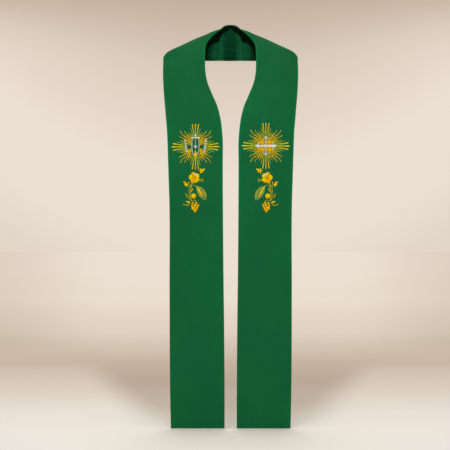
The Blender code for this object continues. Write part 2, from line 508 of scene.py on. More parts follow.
@dataclass(frozen=True)
class RayonThread(Finish):
    """Rayon thread laid in satin stitch. The paler ones have a metallised strip wound in.

    The threads lie side by side across a form, so light breaks on them in fine bright and deep lines.
    """

    lit: str
    deep: str
    metallic: float = 0.0
    thread_mm: float = 1.0  # real threads lie about 0.4 mm apart, too fine to show, so they are drawn coarser
    tuft_mm: float = 7.0
    relief_mm: float = 0.22

    def sockets(self, add: AddNode) -> dict[str, Any]:
        """Draws the threads and their tufts.

        Args:
            add: What adds a node to the material.

        Returns:
            What the shader's sockets hold.
        """
        laid, place = add("UVMap", "UV"), add("TexCoord", "Object")
        ribs = {"Vector": laid, "Scale": wave_scale(self.thread_mm), "Distortion": 0.8, "Detail": 1.0}
        threads = add("TexWave", "Fac", ribs, bands_direction="X")
        tufts = add("TexNoise", "Fac", {"Vector": place, "Scale": noise_scale(self.tuft_mm), "Detail": 2.0})
        both = add("Math", "Value", (threads, 0.45, tufts), operation="MULTIPLY_ADD")
        light = add("MapRange", "Result", (both, 0.4, 0.95))
        mixed = {MIX_FACTOR: light, MIX_FIRST: linear(self.deep), MIX_SECOND: linear(self.lit)}
        raised = {"Height": threads, "Strength": 0.6, "Distance": self.relief_mm * MM}
        return {
            "Base Color": add("Mix", MIX_RESULT, mixed, data_type="RGBA"),
            "Normal": add("Bump", "Normal", raised),
            "Roughness": 0.38,
            "Metallic": self.metallic,
            "Specular IOR Level": 0.16,
            "Specular Tint": linear(self.lit),
        }


# Cloth


class Wave(NamedTuple):
    """A slow wave in the hanging cloth. Its lengths across and along the band are those of one radian."""

    height: float
    over: float
    down: float
    shifted: float  # the sign that the band's own shift has in it


WAVES = (Wave(0.7, 27.0, 610.0, 1.0), Wave(0.4, 14.0, 430.0, -1.0))
DRIFT = Wave(0.45, 60.0, 95.0, 1.0)
WAVE_SHIFTS = {Side.LEFT: 1.1, Side.RIGHT: 3.4}
# The distance along the band that the waves start at, and how much further on they are full.
STILL_DOWN_TO, FULL_AFTER = 560.0, 800.0


def ripple(flat: np.ndarray, side: Side) -> np.ndarray:
    """How far the hanging cloth stands off its plane: slow waves that grow down to the hem.

    Args:
        flat: Rows of distance from the neck edge and distance along the band, and more.
        side: The side of the wearer, whose waves differ.

    Returns:
        Heights in millimetres.
    """
    over, down, shift = flat[:, 0], flat[:, 1], WAVE_SHIFTS[side]
    hang = np.clip((down - STILL_DOWN_TO) / FULL_AFTER, 0, 1)
    long, short = (
        wave.height * np.sin(over / wave.over + wave.shifted * shift + down / wave.down) for wave in WAVES
    )
    drift = DRIFT.height * np.sin(down / DRIFT.down + shift) * np.sin(over / DRIFT.over)
    return hang * (long + short + drift)


def bell(values: np.ndarray, middle: float, spread: float) -> np.ndarray:
    """A smooth bump of height 1."""
    return np.exp(-(((values - middle) / spread) ** 2))


def step_down(values: np.ndarray, place: float | np.ndarray, softness: float) -> np.ndarray:
    """A smooth step from 1 below a place to 0 above it."""
    return 1.0 / (1.0 + np.exp(np.clip((values - place) / softness, -30, 30)))


# Painted shade on the outer face at rising levels, in millimetres: a share of its colour, darker over the
# shoulders and towards the hem.
OUTER_PAINTED_SHADE = (
    *((-1111.0, 0.93), (-700.0, 0.95), (-450.0, 0.98), (-200.0, 1.02), (-146.0, 1.00)),
    *((-91.0, 0.94), (-36.0, 0.92), (46.0, 0.87), (120.0, 0.79)),
)
# The level where the shade under the neck's roll ends, at distances from the centre plane, in millimetres.
COLLAR_SHADE = (
    *((0.0, 108.0), (24.0, 92.5), (32.0, 82.5), (35.5, 69.0), (50.0, 65.5)),
    *((61.5, 59.0), (68.5, 50.5), (72.5, 40.0), (74.0, 10.0)),
)


@dataclass(frozen=True)
class CollarLight:
    """How much light the inside of the collar keeps.

    The back of the collar has a shaded middle between two lit upright folds, and is darkest under the neck's
    roll. Unless its comment says otherwise, a pair is a place or level in millimetres, with how gradually the
    light changes there, and a triple is a light or dark line: its strength, its middle and its spread.
    """

    back: Pair = (12.0, 20.0)
    sides: Pair = (96.0, 12.0)
    yoke: Pair = (77.0, 1.2)
    low: Pair = (60.0, 24.0)
    middle: Pair = (19.0, 1.3)
    middle_shades: Triple = (0.40, 0.05, 0.13)  # everywhere, and as much more below the yoke and low down
    ground: Pair = (0.72, 0.12)  # the tone between the folds, and how much lighter it is low down
    lit_fold: Triple = (0.24, 31.5, 3.0)
    dark_fold: Triple = (0.08, 25.0, 2.5)
    yoke_fold: Triple = (0.06, 79.0, 2.2)
    yoke_end: Pair = (31.0, 1.5)
    roll_light: Triple = (0.6, 106.5, 2.2)
    roll_end: Pair = (5.0, 1.5)
    hem_light: Triple = (0.30, 26.0, 2.0)
    hem_shade: Triple = (0.45, 21.0, 1.8)
    hem_end: Pair = (34.0, 3.0)
    shade_softness: float = 1.0
    shade_tone: float = 0.03
    neck_sides: Pair = (61.0, 4.0)
    neck_side_tone: float = 0.30

    def tone(self, world: np.ndarray) -> np.ndarray:
        """The light at each point.

        Args:
            world: Points in millimetres.

        Returns:
            Tones, 1 for the finish's own colour.
        """

        def mark(values: np.ndarray, how: Triple) -> np.ndarray:
            """A light or dark line."""
            return how[0] * bell(values, *how[1:])

        x, y, z = np.abs(world[:, 0]), world[:, 1], world[:, 2]
        behind = np.clip((y - self.back[0]) / self.back[1], 0, 1)
        within = behind * np.clip((self.sides[0] - x) / self.sides[1], 0, 1)
        below_yoke = step_down(z, *self.yoke)
        low = np.clip((self.low[0] - z) / self.low[1], 0, 1)
        everywhere, by_yoke, by_low = self.middle_shades
        middle = 1.0 - (everywhere + by_yoke * below_yoke + by_low * low) * step_down(x, *self.middle)
        upright = mark(x, self.lit_fold) - mark(x, self.dark_fold)
        folds = self.ground[0] + self.ground[1] * low + below_yoke * upright
        folds += mark(z, self.yoke_fold) * step_down(x, *self.yoke_end)
        folds += mark(z, self.roll_light) * step_down(x, *self.roll_end)
        hems = 1.0 + mark(z, self.hem_light) - mark(z, self.hem_shade) * step_down(x, *self.hem_end)
        lit = step_down(z, np.interp(x, *np.transpose(COLLAR_SHADE)), self.shade_softness)
        tone = middle * folds * hems
        for dark, light in ((self.shade_tone, lit), (self.neck_side_tone, step_down(x, *self.neck_sides))):
            tone = tone * (dark + (1.0 - dark) * light)
        return 1.0 + within * (tone - 1.0)


@dataclass
class ClothSheet:
    """One cut sheet of a band: laid flat, its edges rolled over and turned in, and bent as it is worn."""

    surface: BandSurface
    side: Side
    face: Face
    depth: float  # of its good face below the band's outer face
    margin: float  # how far it stays inside the band's edges
    roll_radius: float
    turn_in: float
    seam_roll: float = 0.6  # the radius at the centre-back seam, where the fold is pressed flat
    highlight_reach: float = 8.0  # how far in from a folded edge its painted highlight reaches
    columns: int = 52

    BACK_LINES = 4  # how many of the worn lines' gaps lie behind the neck
    BACK_STEP = 2.5
    WORN_STEP = 4.0
    HANGING_STEP = 8.0
    NEAR_EDGE = (0.0, 1.5, 4.0)  # where the columns next to an edge lie
    FLAT_SEAM = (8.0, 22.0)  # the folds thicken between these distances from the centre-back seam
    ROLL_STEPS = 6
    EDGE_HIGHLIGHT_TO = 700.0  # the painted highlight on the folded edges is full down to this distance along the band
    EDGE_HIGHLIGHT_FADE = 120.0
    EDGE_HIGHLIGHT_LOSS = 0.8  # the share of that painted highlight that is gone by then
    PRESSED_SHARPNESS = 1.5
    EDGE_LIGHT = (1.8, 1.2)  # how far in the neck fold still catches the light, and over what that fades
    ON_SIDE = 1e-3  # a border point as near a side as this lies on it
    SAME_CORNER = 0.02  # mitred corners that lie as close as this are one point

    @property
    def last(self) -> float:
        """Where the flat part ends along the band. It starts at the seam's roll."""
        return self.surface.length - self.margin - self.roll_radius

    def _rows(self) -> np.ndarray:
        """Distances along the band of the sheet's cross lines.

        Returns:
            The distances.
        """
        back, worn = self.surface.stops[self.BACK_LINES], self.surface.stops[len(WORN_LINES)]
        zones = (
            (self.seam_roll, back, self.BACK_STEP),
            (back, worn, self.WORN_STEP),
            (worn, self.last, self.HANGING_STEP),
        )
        lines = [np.linspace(a, b, max(2, round((b - a) / step) + 1))[:-1] for a, b, step in zones]
        return np.concatenate([*lines, [self.last]])

    def _sides(self, down: np.ndarray, turn: float = 0.0) -> tuple[np.ndarray, np.ndarray]:
        """The flat part's neck side and outer side at distances along the band, turned in by this much."""
        from_edge = self.margin + self.roll_radius + turn
        return np.full_like(down, from_edge), self.surface.width(down) - from_edge

    def _roll_depth(self, down: float) -> float:
        """The radius of the folds at a distance along the band.

        Args:
            down: The distance.

        Returns:
            The radius.
        """
        start, end = self.FLAT_SEAM
        t = min(max((down - start) / (end - start), 0.0), 1.0)
        return self.seam_roll + (self.roll_radius - self.seam_roll) * t * t * (3 - 2 * t)

    def _flat_grid(self) -> BMesh:
        """The good face as a grid: X is the distance from the neck edge, Y along the band, Z out of the face.

        Returns:
            The grid.
        """
        rows = self._rows()
        low, high = self._sides(rows)
        edge, last_column, last_row = len(self.NEAR_EDGE), self.columns - 1, len(rows) - 1
        bm = bmesh.new()
        bmesh.ops.create_grid(bm, x_segments=last_column, y_segments=last_row, size=1.0)
        for vert in bm.verts:
            i, j = round((vert.co.x + 1) / 2 * last_column), round((vert.co.y + 1) / 2 * last_row)
            reach = high[j] - low[j]
            if i < edge:
                over = self.NEAR_EDGE[i]
            elif i > last_column - edge:
                over = reach - self.NEAR_EDGE[last_column - i]
            else:
                ends = 2 * self.NEAR_EDGE[-1]
                over = ends + (reach - 2 * ends) * (i - edge) / (last_column - 2 * edge)
            vert.co = (low[j] + over, rows[j], 0.0)
        return bm

    def _rim(self, bm: BMesh) -> dict[int, tuple[Vector, Vector]]:
        """The border before it is folded.

        Args:
            bm: The flat grid.

        Returns:
            Where each border point lies, and how far the folds bulge out from it.
        """
        rim = {}
        for vert in (vert for vert in bm.verts if vert.is_boundary):
            low, high = self._sides(np.array([vert.co.y]))
            bulge = Vector((0.0, 0.0, 0.0))
            for side, sign in ((low[0], -1.0), (high[0], 1.0)):
                if abs(vert.co.x - side) < self.ON_SIDE:
                    bulge.x = sign * self.roll_radius
            for end, roll in ((self.seam_roll, -self.seam_roll), (self.last, self.roll_radius)):
                if abs(vert.co.y - end) < self.ON_SIDE:
                    bulge.y = roll
            rim[vert.index] = (vert.co.copy(), bulge)
        return rim

    def _roll_edges(self, bm: BMesh) -> None:
        """Rolls the border over through half a turn, and turns it in flat with mitred corners.

        Args:
            bm: The flat grid.
        """
        number = bm.verts.layers.int.new("border")
        for vert in bm.verts:
            vert[number] = vert.index
        base = self._rim(bm)

        def extruded() -> list[BMVert]:
            """Adds a strip round the border.

            Returns:
                The points of its new edge.
            """
            rim = [edge for edge in bm.edges if edge.is_boundary]
            made = bmesh.ops.extrude_edge_only(bm, edges=rim)["geom"]
            return [item for item in made if isinstance(item, BMVert)]

        for step in range(1, self.ROLL_STEPS + 1):
            angle = math.pi * step / self.ROLL_STEPS
            for vert in extruded():
                place, bulge = base[vert[number]]
                vert.co = place + bulge * math.sin(angle)
                vert.co.z = -self._roll_depth(place.y) * (1 - math.cos(angle))
        for turn in (self.turn_in / 2, self.turn_in):
            verts = extruded()
            for vert in verts:
                low, high = self._sides(np.array([vert.co.y]), turn)
                vert.co.x = min(max(vert.co.x, low[0]), high[0])
                vert.co.y = min(max(vert.co.y, self.seam_roll + turn), self.last - turn)
            bmesh.ops.remove_doubles(bm, verts=verts, dist=self.SAME_CORNER)
        bm.verts.layers.int.remove(number)

    def _mark(self, bm: BMesh, flat: np.ndarray) -> None:
        """Writes the cut's UVs, in metres, and how strong the painted highlight along the folded edges is at
        each point.

        Args:
            bm: The sheet, still flat.
            flat: Its points.
        """
        cut = bm.loops.layers.uv.new("cut")
        for face in bm.faces:
            for loop in face.loops:
                loop[cut].uv = (loop.vert.co.x * MM, loop.vert.co.y * MM)
        low, high = self._sides(flat[:, 1])
        inside = np.minimum(np.minimum(flat[:, 0] - low, high - flat[:, 0]), self.last - flat[:, 1])
        # A painted highlight along the folded edges, fading inwards and weaker down the hanging band.
        edge_highlight_strength = np.clip(1.0 - inside / self.highlight_reach, 0.0, 1.0) ** self.PRESSED_SHARPNESS
        edge_highlight_strength *= 1.0 - np.clip((flat[:, 1] - self.EDGE_HIGHLIGHT_TO) / self.EDGE_HIGHLIGHT_FADE, 0.0, self.EDGE_HIGHLIGHT_LOSS)
        near = bm.verts.layers.float.new("folded_edge")
        for vert, value in zip(bm.verts, edge_highlight_strength):
            vert[near] = value

    def _faces_wearer(self, flat: np.ndarray) -> np.ndarray:
        """How far each point lies on what faces the wearer, from 0 to 1.

        Args:
            flat: The points.

        Returns:
            The shares.
        """
        if self.face is Face.TO_WEARER:
            return np.ones(len(flat))
        light, fade = self.EDGE_LIGHT
        turned_over = np.clip(-flat[:, 2] / self.seam_roll - 1.0, 0, 1)
        return turned_over * np.clip((flat[:, 0] - self.margin - light) / fade, 0, 1)

    def build(self) -> BMesh:
        """The bent sheet as one skin, in metres.

        Returns:
            The skin. Its wall is added by the piece's own modifier.
        """
        bm = self._flat_grid()
        self._roll_edges(bm)
        flat = np.array([vert.co for vert in bm.verts], float)
        self._mark(bm, flat)
        to_wearer = self._faces_wearer(flat)
        flat[:, 2] = ripple(flat, self.side) + self.face.value * flat[:, 2] - self.depth
        world = self.surface.lay(flat, self.side)
        # Painted shade: the outer face is darkened by its level, and what faces the wearer takes the collar's
        # painted light and shade.
        outer = np.interp(world[:, 2], *np.transpose(OUTER_PAINTED_SHADE))
        painted_shading = outer + to_wearer * (CollarLight().tone(world) - outer)
        tone = bm.verts.layers.float.new("tone")
        for vert, point, value in zip(bm.verts, world * MM, painted_shading):
            vert.co = point
            vert[tone] = value
        if self.side.value * self.face.value > 0:
            bmesh.ops.reverse_faces(bm, faces=bm.faces)
        bm.normal_update()
        return bm


def new_piece(name: str, bm: BMesh, finish: Material, wall_mm: float = 0.0) -> Piece:
    """Makes a piece from a mesh in world metres, and lets it ride on the stole's body.

    Args:
        name: The piece's name.
        bm: Its mesh, which is freed.
        finish: Its material.
        wall_mm: The thickness that a skin gets behind its good face.

    Returns:
        The piece.
    """
    mesh = bpy.data.meshes.new(name)
    bm.to_mesh(mesh)
    bm.free()
    mesh.shade_smooth()
    mesh.materials.append(finish)
    piece = bpy.data.objects.new(name, mesh)
    bpy.context.scene.collection.objects.link(piece)
    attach(piece, BODY)
    if wall_mm:
        wall = piece.modifiers.new("wall", "SOLIDIFY")
        wall.thickness = wall_mm * MM
        wall.offset = -1.0
        wall.use_even_offset = False
    LOG.info("%s: %d faces", name, len(mesh.polygons))
    return piece


@dataclass
class Band:
    """One band of the stole: its woven cloth, its satin lining and the slip stitches that hold the two."""

    surface: BandSurface
    side: Side
    cloth_finish: Material
    lining_finish: Material
    sewing_finish: Material
    folded_thickness: float = 2.4
    cloth_wall: float = 0.5
    turn_in: float = 5.6
    lining_wall: float = 0.3
    lining_margin: float = 6.6
    lining_depth: float = 2.2
    lining_roll: float = 0.4
    lining_turn_in: float = 3.0
    stitch_pitch: float = 7.0
    stitch_size: Triple = (0.55, 0.55, 2.6)
    stitch_slants: Pair = (28.0, 62.0)  # from the band's length: along its sides, and along the hem
    hem_start: float = 3.0  # how far the hem's first stitch is from the lining's corner
    # The sizes that the cloth and the lining were cut to, in metres and square metres.
    flat_cut: Pair = (0.185, 1.407)
    flat_area: float = 0.234
    lining_cut: Pair = (0.163, 1.393)
    lining_area: float = 0.203

    def build_cloth(self) -> tuple[Piece, BVHTree]:
        """Makes the woven cloth.

        Returns:
            The piece, and its outer face as something that embroidery can be laid on.
        """
        sheet = ClothSheet(
            self.surface,
            self.side,
            Face.OUTWARD,
            depth=0.0,
            margin=0.0,
            roll_radius=self.folded_thickness / 2,
            turn_in=self.turn_in,
        )
        bm = sheet.build()
        ground = BVHTree.FromBMesh(bm)
        piece = new_piece(f"cloth_{self.side.word}", bm, self.cloth_finish, self.cloth_wall)
        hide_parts(f"band_{self.side.word}")
        return piece, ground

    def build_lining(self) -> Piece:
        """Makes the satin lining, set inside the cloth's turned edges.

        Returns:
            The piece.
        """
        sheet = ClothSheet(
            self.surface,
            self.side,
            Face.TO_WEARER,
            depth=self.lining_depth,
            margin=self.lining_margin,
            roll_radius=self.lining_roll,
            turn_in=self.lining_turn_in,
            seam_roll=self.lining_roll,
        )
        piece = new_piece(f"satin_{self.side.word}", sheet.build(), self.lining_finish, self.lining_wall)
        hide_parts(f"lining_{self.side.word}")
        return piece

    def _stitch_places(self) -> np.ndarray:
        """Where slip stitches lie round the lining.

        Returns:
            Rows of distance from the neck edge, distance along the band, and slant in degrees.
        """
        margin, surface = self.lining_margin, self.surface
        end = surface.length - margin
        down = np.arange(margin, end, self.stitch_pitch)
        over = np.arange(margin + self.hem_start, float(surface.width(end)) - margin, self.stitch_pitch)
        along_side, along_hem = self.stitch_slants
        lines = (
            (np.full_like(down, margin), down, along_side),
            (surface.width(down) - margin, down, along_side),
            (over, np.full_like(over, end), along_hem),
        )
        return np.concatenate([np.stack([x, y, np.full_like(x, slant)], axis=-1) for x, y, slant in lines])

    def build_stitches(self) -> Piece:
        """Makes small slanting slip stitches from the lining's fold into the cloth's turned edge.

        Returns:
            The piece.
        """
        single = bmesh.new()
        shrink = Matrix.Diagonal((*(size / 2 for size in self.stitch_size), 1.0))
        bmesh.ops.create_uvsphere(single, u_segments=6, v_segments=4, radius=1.0, matrix=shrink)
        stitch = bpy.data.meshes.new("stitch")
        single.to_mesh(stitch)
        single.free()
        shape = np.array([vert.co for vert in stitch.vertices], float)
        bm = bmesh.new()
        flat = []
        for over, down, slant in self._stitch_places():
            bm.from_mesh(stitch)
            sine, cosine = math.sin(math.radians(slant)), math.cos(math.radians(slant))
            across = shape[:, 2] * sine - shape[:, 0] * cosine
            along = shape[:, 2] * cosine + shape[:, 0] * sine
            flat.append(np.stack([over + across, down + along, shape[:, 1] - self.folded_thickness], axis=-1))
        bpy.data.meshes.remove(stitch)
        places = np.concatenate(flat)
        places[:, 2] += ripple(places, self.side)
        for vert, point in zip(bm.verts, self.surface.lay(places, self.side) * MM):
            vert.co = point
        bmesh.ops.recalc_face_normals(bm, faces=bm.faces)
        return new_piece(f"slip_stitches_{self.side.word}", bm, self.sewing_finish)


# Embroidery


class Grain(Enum):
    """Which way the threads of a stitched form lie. The value is their turn from straight across it."""

    ACROSS = 0.0
    SLANTED = 35.0
    ALONG = 90.0


FLARE = 0.45  # the share of its width that a flared form lacks where it starts
TAPER = 0.8  # the share that a pointed form has lost where it ends
LEAF_FULLNESS = 0.75
CAP_RINGS = 3  # how many cross lines shape a round end


class Outline(Enum):
    """How wide a stitched form is along its length."""

    COLUMN = "column"
    FLARED = "flared"
    POINTED = "pointed"
    LEAF = "leaf"
    PAD = "pad"

    def share(self, t: np.ndarray) -> np.ndarray:
        """How wide the form is.

        Args:
            t: Shares of its length.

        Returns:
            The widths there, as shares of the greatest width.
        """
        if self is Outline.FLARED:
            return (1.0 - FLARE) + FLARE * t
        if self is Outline.POINTED:
            return 1.0 - TAPER * t
        if self is Outline.LEAF:
            return np.clip(np.sin(math.pi * t), 0, 1) ** LEAF_FULLNESS
        return np.ones_like(t)

    def spaced(self, share: np.ndarray, rings: int, cap: float) -> tuple[np.ndarray, np.ndarray]:
        """Spaces a form's cross lines so that its ends come out round.

        Args:
            share: Shares of the form's length with its cross lines evenly spaced.
            rings: How many cross lines there are.
            cap: The share of its length that one round end takes.

        Returns:
            The shares as spaced, and how full the form is at each.
        """
        if self is Outline.LEAF:
            return share, np.ones_like(share)
        if self is Outline.PAD:
            return (1 - np.cos(math.pi * share)) / 2, np.sin(math.pi * share)
        cap = min(cap, 0.5)
        in_cap = min(CAP_RINGS, rings // 2) / rings
        from_end = np.minimum(share, 1 - share)
        bend = np.clip(from_end / in_cap, 0, 1) * math.pi / 2
        straight = cap + (from_end - in_cap) / (0.5 - in_cap) * (0.5 - cap) if in_cap < 0.5 else from_end
        near = np.where(from_end < in_cap, cap * (1 - np.cos(bend)), straight)
        return np.where(share < 0.5, near, 1 - near), np.sin(bend)


class Thread(Enum):
    """A thread that the embroidery is stitched in. The value is its finish."""

    GOLD = RayonThread("gold_rayon_thread", "#EEE004", "#BEA200")
    AMBER = RayonThread("amber_rayon_thread", "#F2B800", "#C08400")
    OLD_GOLD = RayonThread("old_gold_rayon_thread", "#C4B00C", "#857C10")
    LIME = RayonThread("lime_rayon_thread", "#AABA18", "#66881C")
    MOSS = RayonThread("moss_rayon_thread", "#92A854", "#4E7640")
    SILVER = RayonThread("silver_metallised_thread", "#F8FAF2", "#A8ACAA", metallic=0.2)
    PEWTER = RayonThread("pewter_metallised_thread", "#DADCD4", "#989EA0", metallic=0.2)
    # A dark thread laid wider under silver and pewter forms as painted shade round them.
    UMBER = RayonThread("painted_shade_thread", "#4A3A1C", "#1F2412")

    @property
    def word(self) -> str:
        """The thread's name as pieces carry it."""
        return self.name.lower()


PATH_POINTS = 25  # how many points a curve is drawn with
BEND_POINTS = 9  # how many points the curve between two given ones is worked out at


def heading_step(turn: float, length: float) -> np.ndarray:
    """The step of this length in a direction, in degrees anticlockwise from the right."""
    return np.array([math.cos(math.radians(turn)), math.sin(math.radians(turn))]) * length


def smooth_path(points: Path, samples: int = PATH_POINTS) -> np.ndarray:
    """A smooth curve through points.

    Args:
        points: The points, in millimetres.
        samples: How many points the curve has.

    Returns:
        The curve's points, evenly spaced.
    """
    fixed = np.array(points, float)
    if len(fixed) > 2:
        ends = [2 * fixed[0] - fixed[1], *fixed, 2 * fixed[-1] - fixed[-2]]
        t = np.linspace(0, 1, BEND_POINTS)[:, None]
        curve = []
        for a, b, c, d in zip(ends, ends[1:], ends[2:], ends[3:]):
            bent = 2 * b + (c - a) * t + (2 * a - 5 * b + 4 * c - d) * t**2 + (3 * b - a - 3 * c + d) * t**3
            curve.extend(0.5 * bent)
        fixed = np.array(curve)
    reach = reaches(fixed)
    return read_at(np.linspace(0, reach[-1], samples), reach, fixed)


def arc(middle: Pair, radius: float, start: float, end: float) -> np.ndarray:
    """A circular arc.

    Args:
        middle: The circle's middle.
        radius: Its radius.
        start: The angle that the arc starts at, in degrees from the right, anticlockwise.
        end: The angle that it ends at.

    Returns:
        The arc's points.
    """
    angles = np.radians(np.linspace(start, end, PATH_POINTS))
    return np.stack([middle[0] + radius * np.cos(angles), middle[1] + radius * np.sin(angles)], axis=-1)


def turned(points: Path, quarters: int) -> np.ndarray:
    """Turns points clockwise about the ornament's middle.

    Args:
        points: The points.
        quarters: How many quarter turns.

    Returns:
        The turned points.
    """
    angle = math.radians(90 * quarters)
    turn = np.array([[math.cos(angle), -math.sin(angle)], [math.sin(angle), math.cos(angle)]])
    return np.array(points, float) @ turn


class Form(NamedTuple):
    """A raised form, stitched in one thread along its middle line.

    Flat places are millimetres right of and above the ornament's own middle.
    """

    thread: Thread
    path: Path
    width: float  # at its widest
    height: float  # how far it stands off the cloth
    outline: Outline = Outline.COLUMN
    grain: Grain = Grain.ACROSS
    rings: int = 12  # how many cross lines its mesh has


PAD_POINTS = 11


def oval(
    thread: Thread, middle: Pair, size: Pair, turn: float, height: float, grain: Grain = Grain.ACROSS
) -> Form:
    """An oval form.

    Args:
        thread: Its thread.
        middle: Its middle.
        size: Its length and width.
        turn: The direction of its length, in degrees from the right.
        height: How far it stands off the cloth.
        grain: How its threads lie.

    Returns:
        The form.
    """
    step = heading_step(turn, size[0] / 2)
    path = np.linspace(np.array(middle) - step, np.array(middle) + step, PAD_POINTS)
    return Form(thread, path, size[1], height, Outline.PAD, grain, rings=8)


@dataclass
class Needlework:
    """All that is stitched in one thread, gathered flat and then laid on the cloth."""

    way: float = 1.0  # -1 where places are given as the wearer's right side shows them, and not the left
    bm: BMesh = field(default_factory=bmesh.new)

    AROUND = 8
    SUNK = 0.3  # how far a form's underside sinks into the cloth
    FULL_FROM = 1.6  # a form is full in height where this many times its width passes its greatest
    TINY = 1e-9

    def stitch(self, form: Form) -> None:
        """Stitches one form.

        Args:
            form: The form.
        """
        line, outline = np.asarray(form.path, float), form.outline
        if len(line) < BEND_POINTS:
            line = smooth_path(line)
        reach = reaches(line)
        length = reach[-1]
        ahead = np.gradient(line, axis=0)
        ahead /= np.maximum(np.linalg.norm(ahead, axis=1, keepdims=True), self.TINY)
        made = bmesh.ops.create_uvsphere(self.bm, u_segments=self.AROUND, v_segments=form.rings, radius=1.0)
        verts = made["verts"]
        unit = np.array([vert.co for vert in verts], float)
        share = np.arccos(np.clip(unit[:, 2], -1, 1)) / math.pi
        t, fullness = outline.spaced(share, form.rings, form.width / 2 / length)
        ring = np.maximum(np.linalg.norm(unit[:, :2], axis=1), self.TINY)
        sideways, upwards = unit[:, 0] / ring, unit[:, 1] / ring
        over, along = sideways * fullness * outline.share(t) * form.width / 2, t * length
        place, facing = read_at(along, reach, line), read_at(along, reach, ahead)
        place += np.stack([-facing[:, 1], facing[:, 0]], axis=-1) * over[:, None]
        full = fullness * np.minimum(1.0, outline.share(t) * self.FULL_FROM)
        lift = np.where(upwards > 0, form.height, self.SUNK) * upwards * full
        turn = math.radians(form.grain.value)
        u, v = along * math.cos(turn) + over * math.sin(turn), over * math.cos(turn) - along * math.sin(turn)
        layer = self.bm.loops.layers.uv.verify()
        for vert, x, z, up, uv in zip(verts, place[:, 0], place[:, 1], lift, zip(u * MM, v * MM)):
            vert.co = (x, z, up)
            for loop in vert.link_loops:
                loop[layer].uv = uv

    def lay(self, name: str, ground: BVHTree, middle: Pair, side: Side, finish: Material) -> Piece:
        """Lays what is stitched on the cloth's outer face.

        Args:
            name: The piece's name.
            ground: The cloth's outer face.
            middle: Where the ornament's middle lies: its distance from the centre plane, and its level.
            side: The side of the wearer. The ornament is mirrored on the right.
            finish: The thread.

        Returns:
            The piece.
        """
        inward = Vector((0.0, 1.0, 0.0))
        for vert in self.bm.verts:
            x, z, height = vert.co
            start = Vector(((middle[0] + x * self.way) * side.value * MM, -1.0, (middle[1] + z) * MM))
            hit, normal, _, _ = ground.ray_cast(start, inward)
            if hit is None:
                raise ValueError(f"{name} runs off the cloth at {x:.0f}, {z:.0f}")
            vert.co = hit + normal * (height * MM)
        bmesh.ops.recalc_face_normals(self.bm, faces=self.bm.faces)
        return new_piece(name, self.bm, finish)


class Ray(NamedTuple):
    """A stitched ray of a burst, in one quarter of it."""

    angle: float  # from upright, in degrees
    start: float  # distance of its inner end from the middle
    end: float
    width: float
    wave: float = 0.0  # how far it sways to each side
    waves: float = 1.0


# The rays that sway between the arms. Their inner part is stitched over in a brighter thread.
DIAGONAL_RAYS = (
    Ray(24.0, 24.0, 47.5, 2.3, 0.8, 1.25),
    Ray(34.8, 22.0, 58.0, 2.6, 1.1, 1.5),
    Ray(45.5, 19.0, 66.5, 2.9, 1.4, 1.75),
    Ray(56.2, 22.0, 59.0, 2.6, 1.1, 1.5),
    Ray(67.0, 24.0, 49.0, 2.3, 0.8, 1.25),
)
FINE_RAYS = (
    Ray(14.8, 33.0, 56.5, 1.8, 0.5),
    Ray(29.3, 23.0, 39.0, 1.7),
    Ray(40.0, 20.0, 38.0, 1.7),
    Ray(50.6, 20.0, 38.0, 1.7),
    Ray(61.2, 23.0, 39.0, 1.7),
)
# The rays that fan out between an upright arm and its neighbours, and then between a level arm and its own.
FANNED_RAYS = (
    Ray(3.0, 26.0, 44.0, 1.8),
    Ray(8.0, 24.0, 47.0, 1.9),
    Ray(13.4, 22.0, 42.0, 1.8),
    Ray(18.8, 24.0, 38.0, 1.7),
    Ray(70.8, 25.0, 40.0, 1.4),
    Ray(74.5, 30.0, 57.5, 1.7, 0.5),
    Ray(77.6, 24.0, 46.0, 1.6),
    Ray(81.2, 26.0, 41.0, 1.5),
    Ray(84.4, 25.0, 50.0, 1.5),
    Ray(87.6, 28.0, 43.0, 1.5),
)
# The rays that fill the middle behind the cross, and those that are left round the lamp.
HEART_RAYS = tuple(Ray(angle, 9.0, 26.0, 2.2) for angle in (18.0, 28.0, 38.0, 52.0, 62.0, 72.0))
SIDE_HEART_RAYS = (
    Ray(43.0, 18.0, 29.0, 2.2),
    Ray(52.0, 15.6, 29.0, 2.2),
    Ray(61.0, 14.0, 27.0, 2.0),
    Ray(69.0, 13.2, 24.0, 1.6),
)
# The signs that take the upper right quarter to each of the four.
QUARTERS = ((1, 1), (1, -1), (-1, -1), (-1, 1))


def swaying(ray: Ray, mirror: Pair) -> np.ndarray:
    """The path of a ray in one quarter.

    Args:
        ray: The ray, as it lies in the upper right quarter.
        mirror: The signs that take it to its own quarter.

    Returns:
        Its path.
    """
    t = np.linspace(0, 1, PATH_POINTS)
    angle = math.radians(ray.angle)
    reach = ray.start + (ray.end - ray.start) * t
    sway = ray.wave * np.sin(2 * math.pi * ray.waves * t)
    x = reach * math.sin(angle) + sway * math.cos(angle)
    z = reach * math.cos(angle) - sway * math.sin(angle)
    return np.stack([x * mirror[0], z * mirror[1]], axis=-1)


